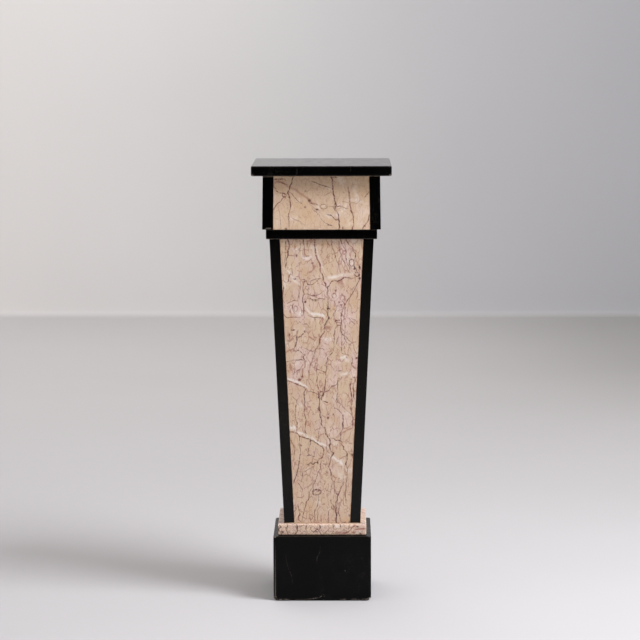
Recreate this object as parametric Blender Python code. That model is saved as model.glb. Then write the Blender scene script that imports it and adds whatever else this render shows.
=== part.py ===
"""A tapering marble pedestal, one metre high, put together from cut slabs.

A black plinth carries a rose-veined course. On it stands a hollow shaft that narrows downwards:
four cream marble panels between four black corner posts. A black necking slab closes the shaft,
a low hollow capital of the same make stands on that, and a black top slab lies over it.

Metres, +Z up, the front towards -Y, the origin on the ground under the middle of the plinth.
"""
import math

import bmesh
import bpy

# Heights in the stack. The shaft takes what the other pieces leave of the total.
TOTAL_HEIGHT = 1.000
PLINTH_HEIGHT = 0.1505
COURSE_THICKNESS = 0.0253
NECKING_THICKNESS = 0.0220
CAPITAL_HEIGHT = 0.1213
SLAB_THICKNESS = 0.0225

# Widths. Every piece is square in plan.
PLINTH_WIDTH = 0.2240
COURSE_WIDTH = 0.2022
SHAFT_FOOT_WIDTH = 0.1748
SHAFT_TOP_WIDTH = 0.2353
NECKING_WIDTH = 0.2504
CAPITAL_FOOT_WIDTH = 0.2668
CAPITAL_TOP_WIDTH = 0.2636
SLAB_WIDTH = 0.3150

# The two hollow parts are posts of square section with thinner panels between them.
SHAFT_POST_WIDTH = 0.0230
CAPITAL_POST_WIDTH = 0.0240
PANEL_THICKNESS = 0.0180

# The front left post of the capital was cut short, and mortar fills the rest under the slab.
SHORT_POST_GAP = 0.0040

# Fits: pieces bedded on each other, and panels against their posts.
BED_GAP = 0.0003
SIDE_GAP = 0.0003

# Worn corners in plan, and rounded upper and lower arrises.
PLINTH_CORNER_RADIUS = 0.0060
PLINTH_TOP_RADIUS = 0.0030
PLINTH_FOOT_RADIUS = 0.0045
COURSE_CORNER_RADIUS = 0.0040
COURSE_ARRIS_RADIUS = 0.0030
NECKING_CORNER_RADIUS = 0.0012
NECKING_ARRIS_RADIUS = 0.0010
SLAB_CORNER_RADIUS = 0.0060
SLAB_ARRIS_RADIUS = 0.0030
CUT_ARRIS_RADIUS = 0.0008

CORNER_SEGMENTS = 4
ARRIS_SEGMENTS = 3
CUT_ARRIS_SEGMENTS = 2
SMOOTH_ANGLE = math.radians(35)

# Colour, roughness and metallic value of each marble.
MARBLES = {
    "black_marble": ((0.010, 0.010, 0.010), 0.22, 0.0),
    "cream_marble": ((0.560, 0.400, 0.300), 0.30, 0.0),
    "rose_marble": ((0.600, 0.370, 0.280), 0.35, 0.0),
}

SIDES = ("front", "right", "back", "left")
CORNERS = ("front_left", "front_right", "back_right", "back_left")


def clear_scene():
    """Start from an empty scene."""
    for old in list(bpy.data.objects):
        bpy.data.objects.remove(old, do_unlink=True)


def marble(node, stone):
    """One Principled material for one piece."""
    colour, roughness, metallic = MARBLES[stone]
    material = bpy.data.materials.new(f"{node}_{stone}")
    material.use_nodes = True
    shader = material.node_tree.nodes["Principled BSDF"]
    shader.inputs["Base Color"].default_value = (*colour, 1.0)
    shader.inputs["Roughness"].default_value = roughness
    shader.inputs["Metallic"].default_value = metallic
    return material


def mesh_from(bm, name):
    """Turn a bmesh into mesh data, smooth where the rounded arrises run."""
    bmesh.ops.recalc_face_normals(bm, faces=bm.faces)
    mesh = bpy.data.meshes.new(name)
    bm.to_mesh(mesh)
    bm.free()
    mesh.shade_smooth()
    mesh.set_sharp_from_angle(angle=SMOOTH_ANGLE)
    return mesh


def place(node, mesh, stone, height, turn=0.0):
    """Put a mesh into the scene as a named piece, its foot at a height, turned about the axis."""
    piece = bpy.data.objects.new(node, mesh)
    piece.location = (0.0, 0.0, height)
    piece.rotation_euler = (0.0, 0.0, turn)
    bpy.context.collection.objects.link(piece)
    # Pieces that share a mesh still have a material each, on the object.
    if not mesh.materials:
        mesh.materials.append(None)
    piece.material_slots[0].link = "OBJECT"
    piece.material_slots[0].material = marble(node, stone)
    return piece


def round_edges(bm, edges, radius, segments):
    """Round a set of edges."""
    bmesh.ops.bevel(bm, geom=list(edges), offset=radius, offset_type="OFFSET",
                    segments=segments, profile=0.5, affect="EDGES", clamp_overlap=True)


def level_edges(bm, height):
    """The edges that run round a piece at one height."""
    tolerance = 1e-6
    return [edge for edge in bm.edges
            if all(abs(corner.co.z - height) < tolerance for corner in edge.verts)]


def hexahedron(foot, top, height):
    """A six-sided solid between a foot outline and a top outline of four corners each."""
    bm = bmesh.new()
    lower = [bm.verts.new((x, y, 0.0)) for x, y in foot]
    upper = [bm.verts.new((x, y, height)) for x, y in top]
    bm.faces.new(lower[::-1])
    bm.faces.new(upper)
    for here in range(4):
        after = (here + 1) % 4
        bm.faces.new((lower[here], lower[after], upper[after], upper[here]))
    return bm


def rectangle(low_x, high_x, low_y, high_y):
    """Four corners, anticlockwise from above."""
    return [(low_x, low_y), (high_x, low_y), (high_x, high_y), (low_x, high_y)]


def slab_mesh(name, width, height, corner_radius, top_radius, foot_radius):
    """A square block with its upright corners and its two rims rounded."""
    half = width / 2
    outline = rectangle(-half, half, -half, half)
    bm = hexahedron(outline, outline, height)
    upright = [edge for edge in bm.edges
               if abs(edge.verts[0].co.z - edge.verts[1].co.z) > height / 2]
    round_edges(bm, upright, corner_radius, CORNER_SEGMENTS)
    round_edges(bm, level_edges(bm, height), top_radius, ARRIS_SEGMENTS)
    round_edges(bm, level_edges(bm, 0.0), foot_radius, ARRIS_SEGMENTS)
    return mesh_from(bm, name)


def panel_mesh(name, foot_width, top_width, post_width, height):
    """The front panel of a tapering box: its face leans with the taper, its ends follow the posts."""
    outlines = []
    for width in (foot_width, top_width):
        half = width / 2
        end = half - post_width - SIDE_GAP
        outlines.append(rectangle(-end, end, -half, PANEL_THICKNESS - half))
    bm = hexahedron(*outlines, height)
    round_edges(bm, bm.edges, CUT_ARRIS_RADIUS, CUT_ARRIS_SEGMENTS)
    return mesh_from(bm, name)


def post_mesh(name, foot_width, top_width, post_width, height):
    """The front left post of a tapering box, a square that slides inwards with the taper."""
    outlines = []
    for width in (foot_width, top_width):
        half = width / 2
        outlines.append(rectangle(-half, post_width - half, -half, post_width - half))
    bm = hexahedron(*outlines, height)
    round_edges(bm, bm.edges, CUT_ARRIS_RADIUS, CUT_ARRIS_SEGMENTS)
    return mesh_from(bm, name)


def tapering_box(part, foot_width, top_width, post_width, level, height):
    """Four cream panels between four black posts, standing on a level."""
    panel = panel_mesh(f"{part}_panel", foot_width, top_width, post_width, height)
    post = post_mesh(f"{part}_post", foot_width, top_width, post_width, height)
    for quarter, side in enumerate(SIDES):
        place(f"{part}_panel_{side}", panel, "cream_marble", level, quarter * math.pi / 2)
    for quarter, corner in enumerate(CORNERS):
        place(f"{part}_post_{corner}", post, "black_marble", level, quarter * math.pi / 2)


def shorten_post(node, foot_width, top_width, post_width, full_height, cut):
    """Give one post a mesh of its own that stops short of the full height."""
    height = full_height - cut
    cut_width = foot_width + (top_width - foot_width) * height / full_height
    post = bpy.data.objects[node]
    material = post.material_slots[0].material
    post.data = post_mesh(node, foot_width, cut_width, post_width, height)
    post.data.materials.append(None)
    post.material_slots[0].link = "OBJECT"
    post.material_slots[0].material = material


def build_pedestal():
    """Stack the pieces from the ground up, each a bed gap above the one that carries it."""
    plinth = slab_mesh("plinth", PLINTH_WIDTH, PLINTH_HEIGHT,
                       PLINTH_CORNER_RADIUS, PLINTH_TOP_RADIUS, PLINTH_FOOT_RADIUS)
    place("plinth", plinth, "black_marble", 0.0)

    course_level = PLINTH_HEIGHT + BED_GAP
    course = slab_mesh("base_course", COURSE_WIDTH, COURSE_THICKNESS,
                       COURSE_CORNER_RADIUS, COURSE_ARRIS_RADIUS, COURSE_ARRIS_RADIUS)
    place("base_course", course, "rose_marble", course_level)

    slab_level = TOTAL_HEIGHT - SLAB_THICKNESS
    capital_level = slab_level - BED_GAP - CAPITAL_HEIGHT
    necking_level = capital_level - BED_GAP - NECKING_THICKNESS
    shaft_level = course_level + COURSE_THICKNESS + BED_GAP
    shaft_height = necking_level - BED_GAP - shaft_level
    tapering_box("shaft", SHAFT_FOOT_WIDTH, SHAFT_TOP_WIDTH, SHAFT_POST_WIDTH,
                 shaft_level, shaft_height)

    necking = slab_mesh("necking_slab", NECKING_WIDTH, NECKING_THICKNESS,
                        NECKING_CORNER_RADIUS, NECKING_ARRIS_RADIUS, NECKING_ARRIS_RADIUS)
    place("necking_slab", necking, "black_marble", necking_level)

    tapering_box("capital", CAPITAL_FOOT_WIDTH, CAPITAL_TOP_WIDTH, CAPITAL_POST_WIDTH,
                 capital_level, CAPITAL_HEIGHT)
    shorten_post("capital_post_front_left", CAPITAL_FOOT_WIDTH, CAPITAL_TOP_WIDTH,
                 CAPITAL_POST_WIDTH, CAPITAL_HEIGHT, SHORT_POST_GAP)

    top = slab_mesh("top_slab", SLAB_WIDTH, SLAB_THICKNESS,
                    SLAB_CORNER_RADIUS, SLAB_ARRIS_RADIUS, SLAB_ARRIS_RADIUS)
    place("top_slab", top, "black_marble", slab_level)


clear_scene()
build_pedestal()
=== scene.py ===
# %% [markdown]
# # A tapering marble pedestal
# The pedestal is built up from cut slabs: a black plinth, a course of rose marble, a hollow shaft
# of cream panels between black corner posts, a thin black necking, a low capital made like the
# shaft, and a black top slab. The solids come in ready made, so this script gives them their stone.
# The blocks whose worn arrises show are modelled again here, with finer edges and chips.

# %% Load the solids
import math

import bpy
from mathutils import Matrix, Vector, noise


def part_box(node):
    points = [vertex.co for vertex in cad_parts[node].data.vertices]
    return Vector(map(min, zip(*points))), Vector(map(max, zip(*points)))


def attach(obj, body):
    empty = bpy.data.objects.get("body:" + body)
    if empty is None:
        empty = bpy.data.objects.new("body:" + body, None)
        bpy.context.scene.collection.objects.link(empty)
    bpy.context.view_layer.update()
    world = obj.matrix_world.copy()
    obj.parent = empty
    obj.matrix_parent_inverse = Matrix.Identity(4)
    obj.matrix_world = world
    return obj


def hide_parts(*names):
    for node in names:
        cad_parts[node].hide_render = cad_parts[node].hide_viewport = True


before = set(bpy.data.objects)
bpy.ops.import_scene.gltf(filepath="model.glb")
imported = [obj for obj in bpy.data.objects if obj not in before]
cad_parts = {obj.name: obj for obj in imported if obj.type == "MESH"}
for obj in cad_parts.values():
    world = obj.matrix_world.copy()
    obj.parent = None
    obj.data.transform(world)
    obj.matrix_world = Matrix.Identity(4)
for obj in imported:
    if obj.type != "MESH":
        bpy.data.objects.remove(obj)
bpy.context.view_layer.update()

MM = 0.001

# %% [markdown]
# ## The camera
# The photograph was taken with a long lens, from about six metres, a little above the top of the
# pedestal. A long lens keeps upright edges nearly parallel, so the place and the tilt matter more
# than anything else for a render that lies on top of the photograph. Three turns in this order
# give the view: level heading, tilt down, and the slight lean of a hand-held camera.

# %% Camera
CAMERA_PLACE = (0.0509, -5.949, 1.347)
CAMERA_HEADING = math.radians(0.538)
CAMERA_TILT_DOWN = math.radians(6.820)
CAMERA_LEAN = math.radians(-0.119)
LENS_MM = 146.04
SENSOR_MM = 36.0
VIEW_REACH = 60.0

camera_data = bpy.data.cameras.new("camera")
camera_data.lens = LENS_MM
camera_data.sensor_width = SENSOR_MM
camera_data.clip_end = VIEW_REACH
camera = bpy.data.objects.new("camera", camera_data)
bpy.context.scene.collection.objects.link(camera)
camera.matrix_world = (Matrix.Translation(CAMERA_PLACE)
                       @ Matrix.Rotation(CAMERA_HEADING, 4, "Z")
                       @ Matrix.Rotation(math.pi / 2 - CAMERA_TILT_DOWN, 4, "X")
                       @ Matrix.Rotation(CAMERA_LEAN, 4, "Z"))
bpy.context.scene.camera = camera
bpy.context.scene.view_settings.view_transform = "Standard"
print("camera at", CAMERA_PLACE, "lens", LENS_MM)

# %% [markdown]
# ## Writing a material as sums
# A marble is mostly arithmetic: how far is this point from a vein, how strong is the vein here,
# how much of one colour lies over another. Node graphs written link by link hide that, so one small
# class wraps a socket and lets plain Python operators add the Math nodes. Every other node comes
# from its `node` method: settings first, then the values or links of its sockets.

# %% A value that can be added, scaled and compared


class Flow:
    """A value on its way through the nodes of a material."""

    def __init__(self, tree, socket):
        self.tree = tree
        self.socket = socket

    def node(self, kind, settings=None, inputs=None, output=0):
        """Add a node of any type, set it up, feed it, and hand on one of its outputs."""
        made = self.tree.nodes.new(kind)
        for name, value in (settings or {}).items():
            if name == "curve":
                shape_curve(made.mapping, value)
            else:
                setattr(made, name, value)
        for name, value in (inputs or {}).items():
            if isinstance(value, Flow):
                self.tree.links.new(value.socket, made.inputs[name])
            else:
                made.inputs[name].default_value = value
        return Flow(self.tree, made.outputs[output])

    def math(self, operation, first, second=0.0):
        """Add a Math node."""
        return self.node("ShaderNodeMath", {"operation": operation}, {0: first, 1: second})

    def __add__(self, other):
        return self.math("ADD", self, other)

    __radd__ = __add__

    def __sub__(self, other):
        return self.math("SUBTRACT", self, other)

    def __rsub__(self, other):
        return self.math("SUBTRACT", other, self)

    def __mul__(self, other):
        return self.math("MULTIPLY", self, other)

    __rmul__ = __mul__

    def __abs__(self):
        return self.math("ABSOLUTE", self)

    def larger(self, other):
        return self.math("MAXIMUM", self, other)

    def ramp(self, start, end, low=0.0, high=1.0):
        """Rise smoothly from low to high while the value goes from start to end."""
        return self.node("ShaderNodeMapRange", {"interpolation_type": "SMOOTHSTEP"},
                         {"Value": self, "From Min": start, "From Max": end,
                          "To Min": low, "To Max": high})

    def bell(self, reach):
        """One at zero, falling smoothly to nothing at the reach on either side."""
        left = (self * self * (-1 / reach ** 2) + 1.0).larger(0.0)
        return left * left

    def curve(self, points):
        """Follow a line drawn through (value, result) points."""
        return self.node("ShaderNodeFloatCurve", {"curve": points}, {"Value": self})

    def parts(self):
        """Split a vector or a colour into its three numbers."""
        made = self.node("ShaderNodeSeparateXYZ", None, {0: self}).socket.node
        return [Flow(self.tree, socket) for socket in made.outputs]


def shape_curve(mapping, points):
    """Draw a curve widget's line through the points, level beyond its ends."""
    mapping.use_clip = False
    mapping.extend = "HORIZONTAL"
    line = mapping.curves[0].points
    while len(line) < len(points):
        line.new(0.0, 0.0)
    for knot, place in zip(line, points):
        knot.location = place
        knot.handle_type = "AUTO_CLAMPED"
    mapping.update()


print("a value answers to:", [name for name in vars(Flow) if not name.startswith("__")])

# %% Colours, vectors and noise


def tint(red, green, blue):
    """A colour given as it shows on a screen, 0 to 255, turned into light."""
    shares = [value / 255 for value in (red, green, blue)]
    light = [s / 12.92 if s <= 0.04045 else ((s + 0.055) / 1.055) ** 2.4 for s in shares]
    return (*light, 1.0)


def combine(x, y, z):
    """A vector from three values, at least one of them a Flow."""
    start = next(value for value in (x, y, z) if isinstance(value, Flow))
    return start.node("ShaderNodeCombineXYZ", None, {0: x, 1: y, 2: z})


def paint(under, over, mask):
    """Lay one colour over another where the mask is high."""
    return mask.node("ShaderNodeMix", {"data_type": "RGBA"}, {0: mask, 6: under, 7: over}, 2)


def cloud(place, scale, detail=2.0, roughness=0.5, output=0):
    """Blender's Noise Texture: its value is output 0, and three independent values are output 1."""
    return place.node("ShaderNodeTexNoise", None,
                      {"Vector": place, "Scale": scale, "Detail": detail, "Roughness": roughness},
                      output)


print("mid grey on a screen reflects", round(tint(128, 128, 128)[0], 3), "of the light")

# %% A material and its sockets


def new_stone(name):
    """A new material, its Principled shader, and the place of each point in metres."""
    material = bpy.data.materials.new(name)
    material.use_nodes = True
    tree = material.node_tree
    shader = tree.nodes["Principled BSDF"]
    coordinates = tree.nodes.new("ShaderNodeTexCoord")
    return material, shader, Flow(tree, coordinates.outputs["Object"])


def wire(shader, **sockets):
    """Feed sockets of the Principled shader, named with underscores, by value or by link."""
    for name, value in sockets.items():
        socket = shader.inputs[name.replace("_", " ")]
        if isinstance(value, Flow):
            value.tree.links.new(value.socket, socket)
        else:
            socket.default_value = value


def how_worn_and_highlit(place):
    """The share of wear and painted arris highlight that a worn block's mesh keeps at each point; nothing
    on other meshes.
    """
    return place.node("ShaderNodeAttribute", {"attribute_name": "worn"}, None, 2)


def relief(height, strength, distance):
    """Light and shade of a fine unevenness that isn't in the mesh."""
    return height.node("ShaderNodeBump", None,
                       {"Height": height, "Strength": strength, "Distance": distance})


print("material helpers ready")

# %% [markdown]
# ## The room
# The stone stands in a plain pale room, and polished black marble shows little but what it
# reflects. The back wall is bright, because the top slab mirrors it at a glancing angle; the wall
# behind the camera is dark, because the black faces look straight at it. The room is one ring of
# walls that turns up from its floor in a small cove, wide enough for a camera that walks all the
# way round. The shaft widens upwards, so its black posts lean over the floor in front and mirror
# it: its near part at their feet, its far part at their tops. The floor there is painted bright near
# the pedestal and dims away from it, a painted fall-off of light, which gives the posts their slow change
# from grey to black.

# %% Rings of points, used for the room and later for every worn block
SHARP_ANGLE = math.radians(40)


def square_ring(half, corner, side_points, corner_points):
    """Points round a square with rounded corners, anticlockwise from above, from front left."""
    ring = []
    centre = half - corner
    for quarter in range(4):
        turn = Matrix.Rotation(quarter * math.pi / 2, 2)
        for step in range(side_points):
            across = (2 * step / side_points - 1) * centre
            ring.append(turn @ Vector((across, -half)))
        for step in range(corner_points):
            angle = (step / corner_points - 1) * math.pi / 2
            ring.append(turn @ Vector((centre + corner * math.cos(angle),
                                       -centre + corner * math.sin(angle))))
    return ring


def skin(name, rings, cap_last=True, joined=False):
    """Mesh through rings of points of equal count, closed at its ends or joined end to end."""
    count = len(rings[0])
    verts = [point for ring in rings for point in ring]
    faces = []
    for level in range(len(rings) if joined else len(rings) - 1):
        low = level * count
        high = (level + 1) % len(rings) * count
        for here in range(count):
            after = (here + 1) % count
            faces.append((low + here, low + after, high + after, high + here))
    if not joined:
        faces.append(tuple(range(count))[::-1])
    if cap_last and not joined:
        last = (len(rings) - 1) * count
        faces.append(tuple(range(last, last + count)))
    mesh = bpy.data.meshes.new(name)
    mesh.from_pydata(verts, [], faces)
    mesh.shade_smooth()
    mesh.set_sharp_from_angle(angle=SHARP_ANGLE)
    return mesh


def put(name, mesh, material):
    """Place a mesh in the scene with one material."""
    mesh.materials.append(material)
    made = bpy.data.objects.new(name, mesh)
    bpy.context.scene.collection.objects.link(made)
    return made


print("points in a plain square ring:", len(square_ring(1.0, 0.1, 1, 1)))

# %% Floor and walls
ROOM_HALF = 7.00
ROOM_MIDDLE_Y = -1.58
ROOM_CORNER = 1.60
COVE_RADIUS = 0.03
WALL_HEIGHT = 5.00
COVE_STEPS = 8
# A ring this far above the cove keeps the cove's soft shading off the rest of the wall.
WALL_FOOT = 0.05
ROOM_SIDE_POINTS = 8
ROOM_CORNER_POINTS = 12

FLOOR_NEAR = tint(187, 186, 189)
FLOOR_FAR = tint(186, 184, 185)
# Painted light for the floor just in front of the pedestal, then the painted fall-off of that light
# further away.
FLOOR_FRONT_PAINTED_LIGHT = tint(208, 204, 200)
FLOOR_PAINTED_FALLOFF = tint(66, 65, 64)
# Painted shade for the floor towards the back right.
FLOOR_PAINTED_SHADE = tint(148, 146, 146)
# The back wall's lighter left end is painted light, its darker right end painted shade.
WALL_LEFT_PAINTED_LIGHT = tint(227, 225, 224)
WALL_RIGHT_PAINTED_SHADE = tint(193, 194, 199)
WALL_BEHIND_CAMERA = tint(46, 45, 44)

# Where each change of colour starts and ends, in metres along x or y.
WALL_PAINTED_SHADE_SPAN = (-1.6, 1.6)
FLOOR_RECEDES = (-0.5, 4.5)
PAINTED_SHADE_TO_RIGHT = (0.1, 1.6)
PAINTED_SHADE_TO_BACK = (1.8, 4.2)
FRONT_BRIGHTENS = (-0.6, -1.1)
FRONT_DIMS = (-1.0, -4.9)
BEHIND_DARKENS = (-4.0, -7.5)
PAINTED_SHADE_SHARE = 0.65


def room_paint():
    """Pale floor and back wall, both with painted shade to the right, a painted fall-off of light on the
    floor in front, dark wall behind the camera.
    """
    material, shader, place = new_stone("room_paint")
    x, y, z = place.parts()
    # Painted light on the left of the back wall, painted shade on its right.
    wall = paint(WALL_LEFT_PAINTED_LIGHT, WALL_RIGHT_PAINTED_SHADE, x.ramp(*WALL_PAINTED_SHADE_SPAN))
    wall = paint(wall, WALL_BEHIND_CAMERA, y.ramp(*BEHIND_DARKENS))
    floor = paint(FLOOR_NEAR, FLOOR_FAR, y.ramp(*FLOOR_RECEDES))
    # Painted shade on the floor, darker towards the back right.
    shade = x.ramp(*PAINTED_SHADE_TO_RIGHT) * y.ramp(*PAINTED_SHADE_TO_BACK) * PAINTED_SHADE_SHARE
    floor = paint(floor, FLOOR_PAINTED_SHADE, shade)
    # Painted light on the floor just in front of the pedestal, fading to painted darkness further away.
    floor = paint(floor, FLOOR_FRONT_PAINTED_LIGHT, y.ramp(*FRONT_BRIGHTENS))
    floor = paint(floor, FLOOR_PAINTED_FALLOFF, y.ramp(*FRONT_DIMS))
    colour = paint(floor, wall, z.ramp(0.0, COVE_RADIUS))
    mottle = cloud(place, 1.3, 3.0) * 0.06 + 0.97
    colour = colour.node("ShaderNodeVectorMath", {"operation": "SCALE"},
                         {0: colour, "Scale": mottle})
    wire(shader, Base_Color=colour, Roughness=0.75, Specular_IOR_Level=0.25)
    return material


def room_rings():
    """The floor's rim, the cove that turns up from it, and the top of the walls."""
    steps = [(COVE_RADIUS * (1 - math.sin(turn)), COVE_RADIUS * (1 - math.cos(turn)))
             for turn in (math.pi / 2 * step / COVE_STEPS for step in range(COVE_STEPS + 1))]
    steps.append((0.0, COVE_RADIUS + WALL_FOOT))
    steps.append((0.0, WALL_HEIGHT))
    rings = []
    for inset, level in steps:
        ring = square_ring(ROOM_HALF - inset, ROOM_CORNER - inset, ROOM_SIDE_POINTS, ROOM_CORNER_POINTS)
        rings.append([(x, y + ROOM_MIDDLE_Y, level) for x, y in ring])
    return rings


room = put("room", skin("room", room_rings(), cap_last=False), room_paint())
room.data.flip_normals()
print("room:", 2 * ROOM_HALF, "m square")

# %% [markdown]
# ## The light
# The shadow on the floor falls to the left and away from the camera, and is soft. So one broad
# light stands to the right and in front of the pedestal, about 51 degrees up. Its angle was read
# from two shadows: the one on the floor, and the one that the overhanging top slab throws on the
# capital. A long light overhead washes the left of the back wall. A weak warm light low in front
# lifts the shade under the slab, and is kept out of the reflections in the black marble. An even
# sky above the walls fills the rest.

# %% Soft lights and sky
STONE_MIDDLE = Vector((0.0, 0.0, 0.5))
KEY_AZIMUTH = math.radians(-31.0)
KEY_ELEVATION = math.radians(51.0)
KEY_DISTANCE = 3.0
KEY_SIZE = 1.30
KEY_WATTS = 110.0
KEY_COLOUR = (0.97, 0.975, 1.0)
WALL_LIGHT_PLACE = Vector((-1.8, 3.4, 4.2))
WALL_LIGHT_AIM = Vector((-1.2, 5.42, 0.8))
WALL_LIGHT_LENGTH = 4.0
WALL_LIGHT_DEPTH = 0.8
WALL_LIGHT_WATTS = 80.0
FILL_PLACE = Vector((0.3, -4.2, 0.9))
FILL_AIM = Vector((0.0, 0.0, 0.7))
FILL_SIZE = 1.6
FILL_WATTS = 29.0
FILL_COLOUR = (1.0, 0.95, 0.89)
SKY_COLOUR = (1.0, 0.955, 0.922, 1.0)
SKY_STRENGTH = 0.815
WHITE = (1.0, 1.0, 1.0)


def soft_light(name, shape, sizes, place, aim, watts, colour=WHITE):
    """A glowing disk, square or rectangle that faces the place it is aimed at."""
    data = bpy.data.lights.new(name, "AREA")
    data.shape = shape
    data.size, data.size_y = sizes
    data.energy = watts
    data.color = colour
    light = bpy.data.objects.new(name, data)
    bpy.context.scene.collection.objects.link(light)
    light.location = place
    light.rotation_euler = (aim - place).to_track_quat("-Z", "Y").to_euler()
    return light


key_direction = Vector((math.cos(KEY_ELEVATION) * math.cos(KEY_AZIMUTH),
                        math.cos(KEY_ELEVATION) * math.sin(KEY_AZIMUTH),
                        math.sin(KEY_ELEVATION)))
key_place = STONE_MIDDLE + key_direction * KEY_DISTANCE
key_light = soft_light("key_light", "DISK", (KEY_SIZE, KEY_SIZE), key_place, STONE_MIDDLE,
                       KEY_WATTS, KEY_COLOUR)
soft_light("wall_light", "RECTANGLE", (WALL_LIGHT_LENGTH, WALL_LIGHT_DEPTH), WALL_LIGHT_PLACE,
           WALL_LIGHT_AIM, WALL_LIGHT_WATTS)
fill_light = soft_light("fill_light", "SQUARE", (FILL_SIZE, FILL_SIZE), FILL_PLACE, FILL_AIM,
                        FILL_WATTS, FILL_COLOUR)
fill_light.visible_glossy = False

sky = bpy.data.worlds.new("sky")
sky.use_nodes = True
sky.node_tree.nodes["Background"].inputs["Color"].default_value = SKY_COLOUR
sky.node_tree.nodes["Background"].inputs["Strength"].default_value = SKY_STRENGTH
bpy.context.scene.world = sky
print("key light at", [round(value, 2) for value in key_light.location])

# %% [markdown]
# ## Black marble
# Polished black marble is almost a dark mirror: a very deep colour under a thin gloss. Up close it
# has a few pale hairlines and scratches, and its arrises, where the polish is rubbed away, are grey
# and dull; the thin grey band along every arris is partly this wear and partly a painted highlight. The
# blocks modelled below store how worn each point is, with that painted highlight, and the material reads
# that.

# %% Black marble
BLACK_DEEP = tint(3, 3, 3)
BLACK_CLOUDY = tint(8, 7, 7)
HAIRLINE_GREY = tint(70, 66, 63)
# Grey of the arrises: wear, and along every arris a painted highlight.
WORN_AND_HIGHLIGHT_GREY = tint(112, 104, 98)
BLACK_IOR = 1.23
HAIRLINE_WIDTH = 0.006


def black_marble(name, seed=0.0, ior=BLACK_IOR, dull=0.0):
    """Near black stone with faint hairlines, paler and duller where the mesh says it is worn, and along
    its arrises with a painted highlight.
    """
    material, shader, place = new_stone(name)
    place = place.node("ShaderNodeVectorMath", {"operation": "ADD"}, {0: place, 1: (seed, seed, 0)})
    colour = paint(BLACK_DEEP, BLACK_CLOUDY, cloud(place, 9.0, 4.0, 0.6).ramp(0.42, 0.72))
    patches = cloud(place, 6.0, 1.0).ramp(0.48, 0.62)
    for scale, share in ((11.0, 0.10), (23.0, 0.07)):
        ridge = abs(cloud(place, scale, 3.0, 0.55) - 0.5)
        line = ridge.ramp(0.0, HAIRLINE_WIDTH * scale / 11.0, share, 0.0)
        colour = paint(colour, HAIRLINE_GREY, line * patches)
    specks = cloud(place, 420.0, 1.0).ramp(0.70, 0.80)
    colour = paint(colour, HAIRLINE_GREY, specks * 0.2)
    # Wear, and within a couple of millimetres of each arris a painted highlight.
    worn = how_worn_and_highlit(place)
    grain = cloud(place, 260.0, 3.0, 0.65)
    worn = worn * grain.ramp(0.25, 0.60)
    colour = paint(colour, WORN_AND_HIGHLIGHT_GREY, worn)
    gloss = cloud(place, 45.0, 3.0).ramp(0.3, 0.7, 0.10 + dull, 0.16 + dull) + worn * 0.45
    wire(shader, Base_Color=colour, Roughness=gloss, IOR=ior,
         Normal=relief(grain * worn, 0.6, 0.0010))
    return material


print("black marble ready")
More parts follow.
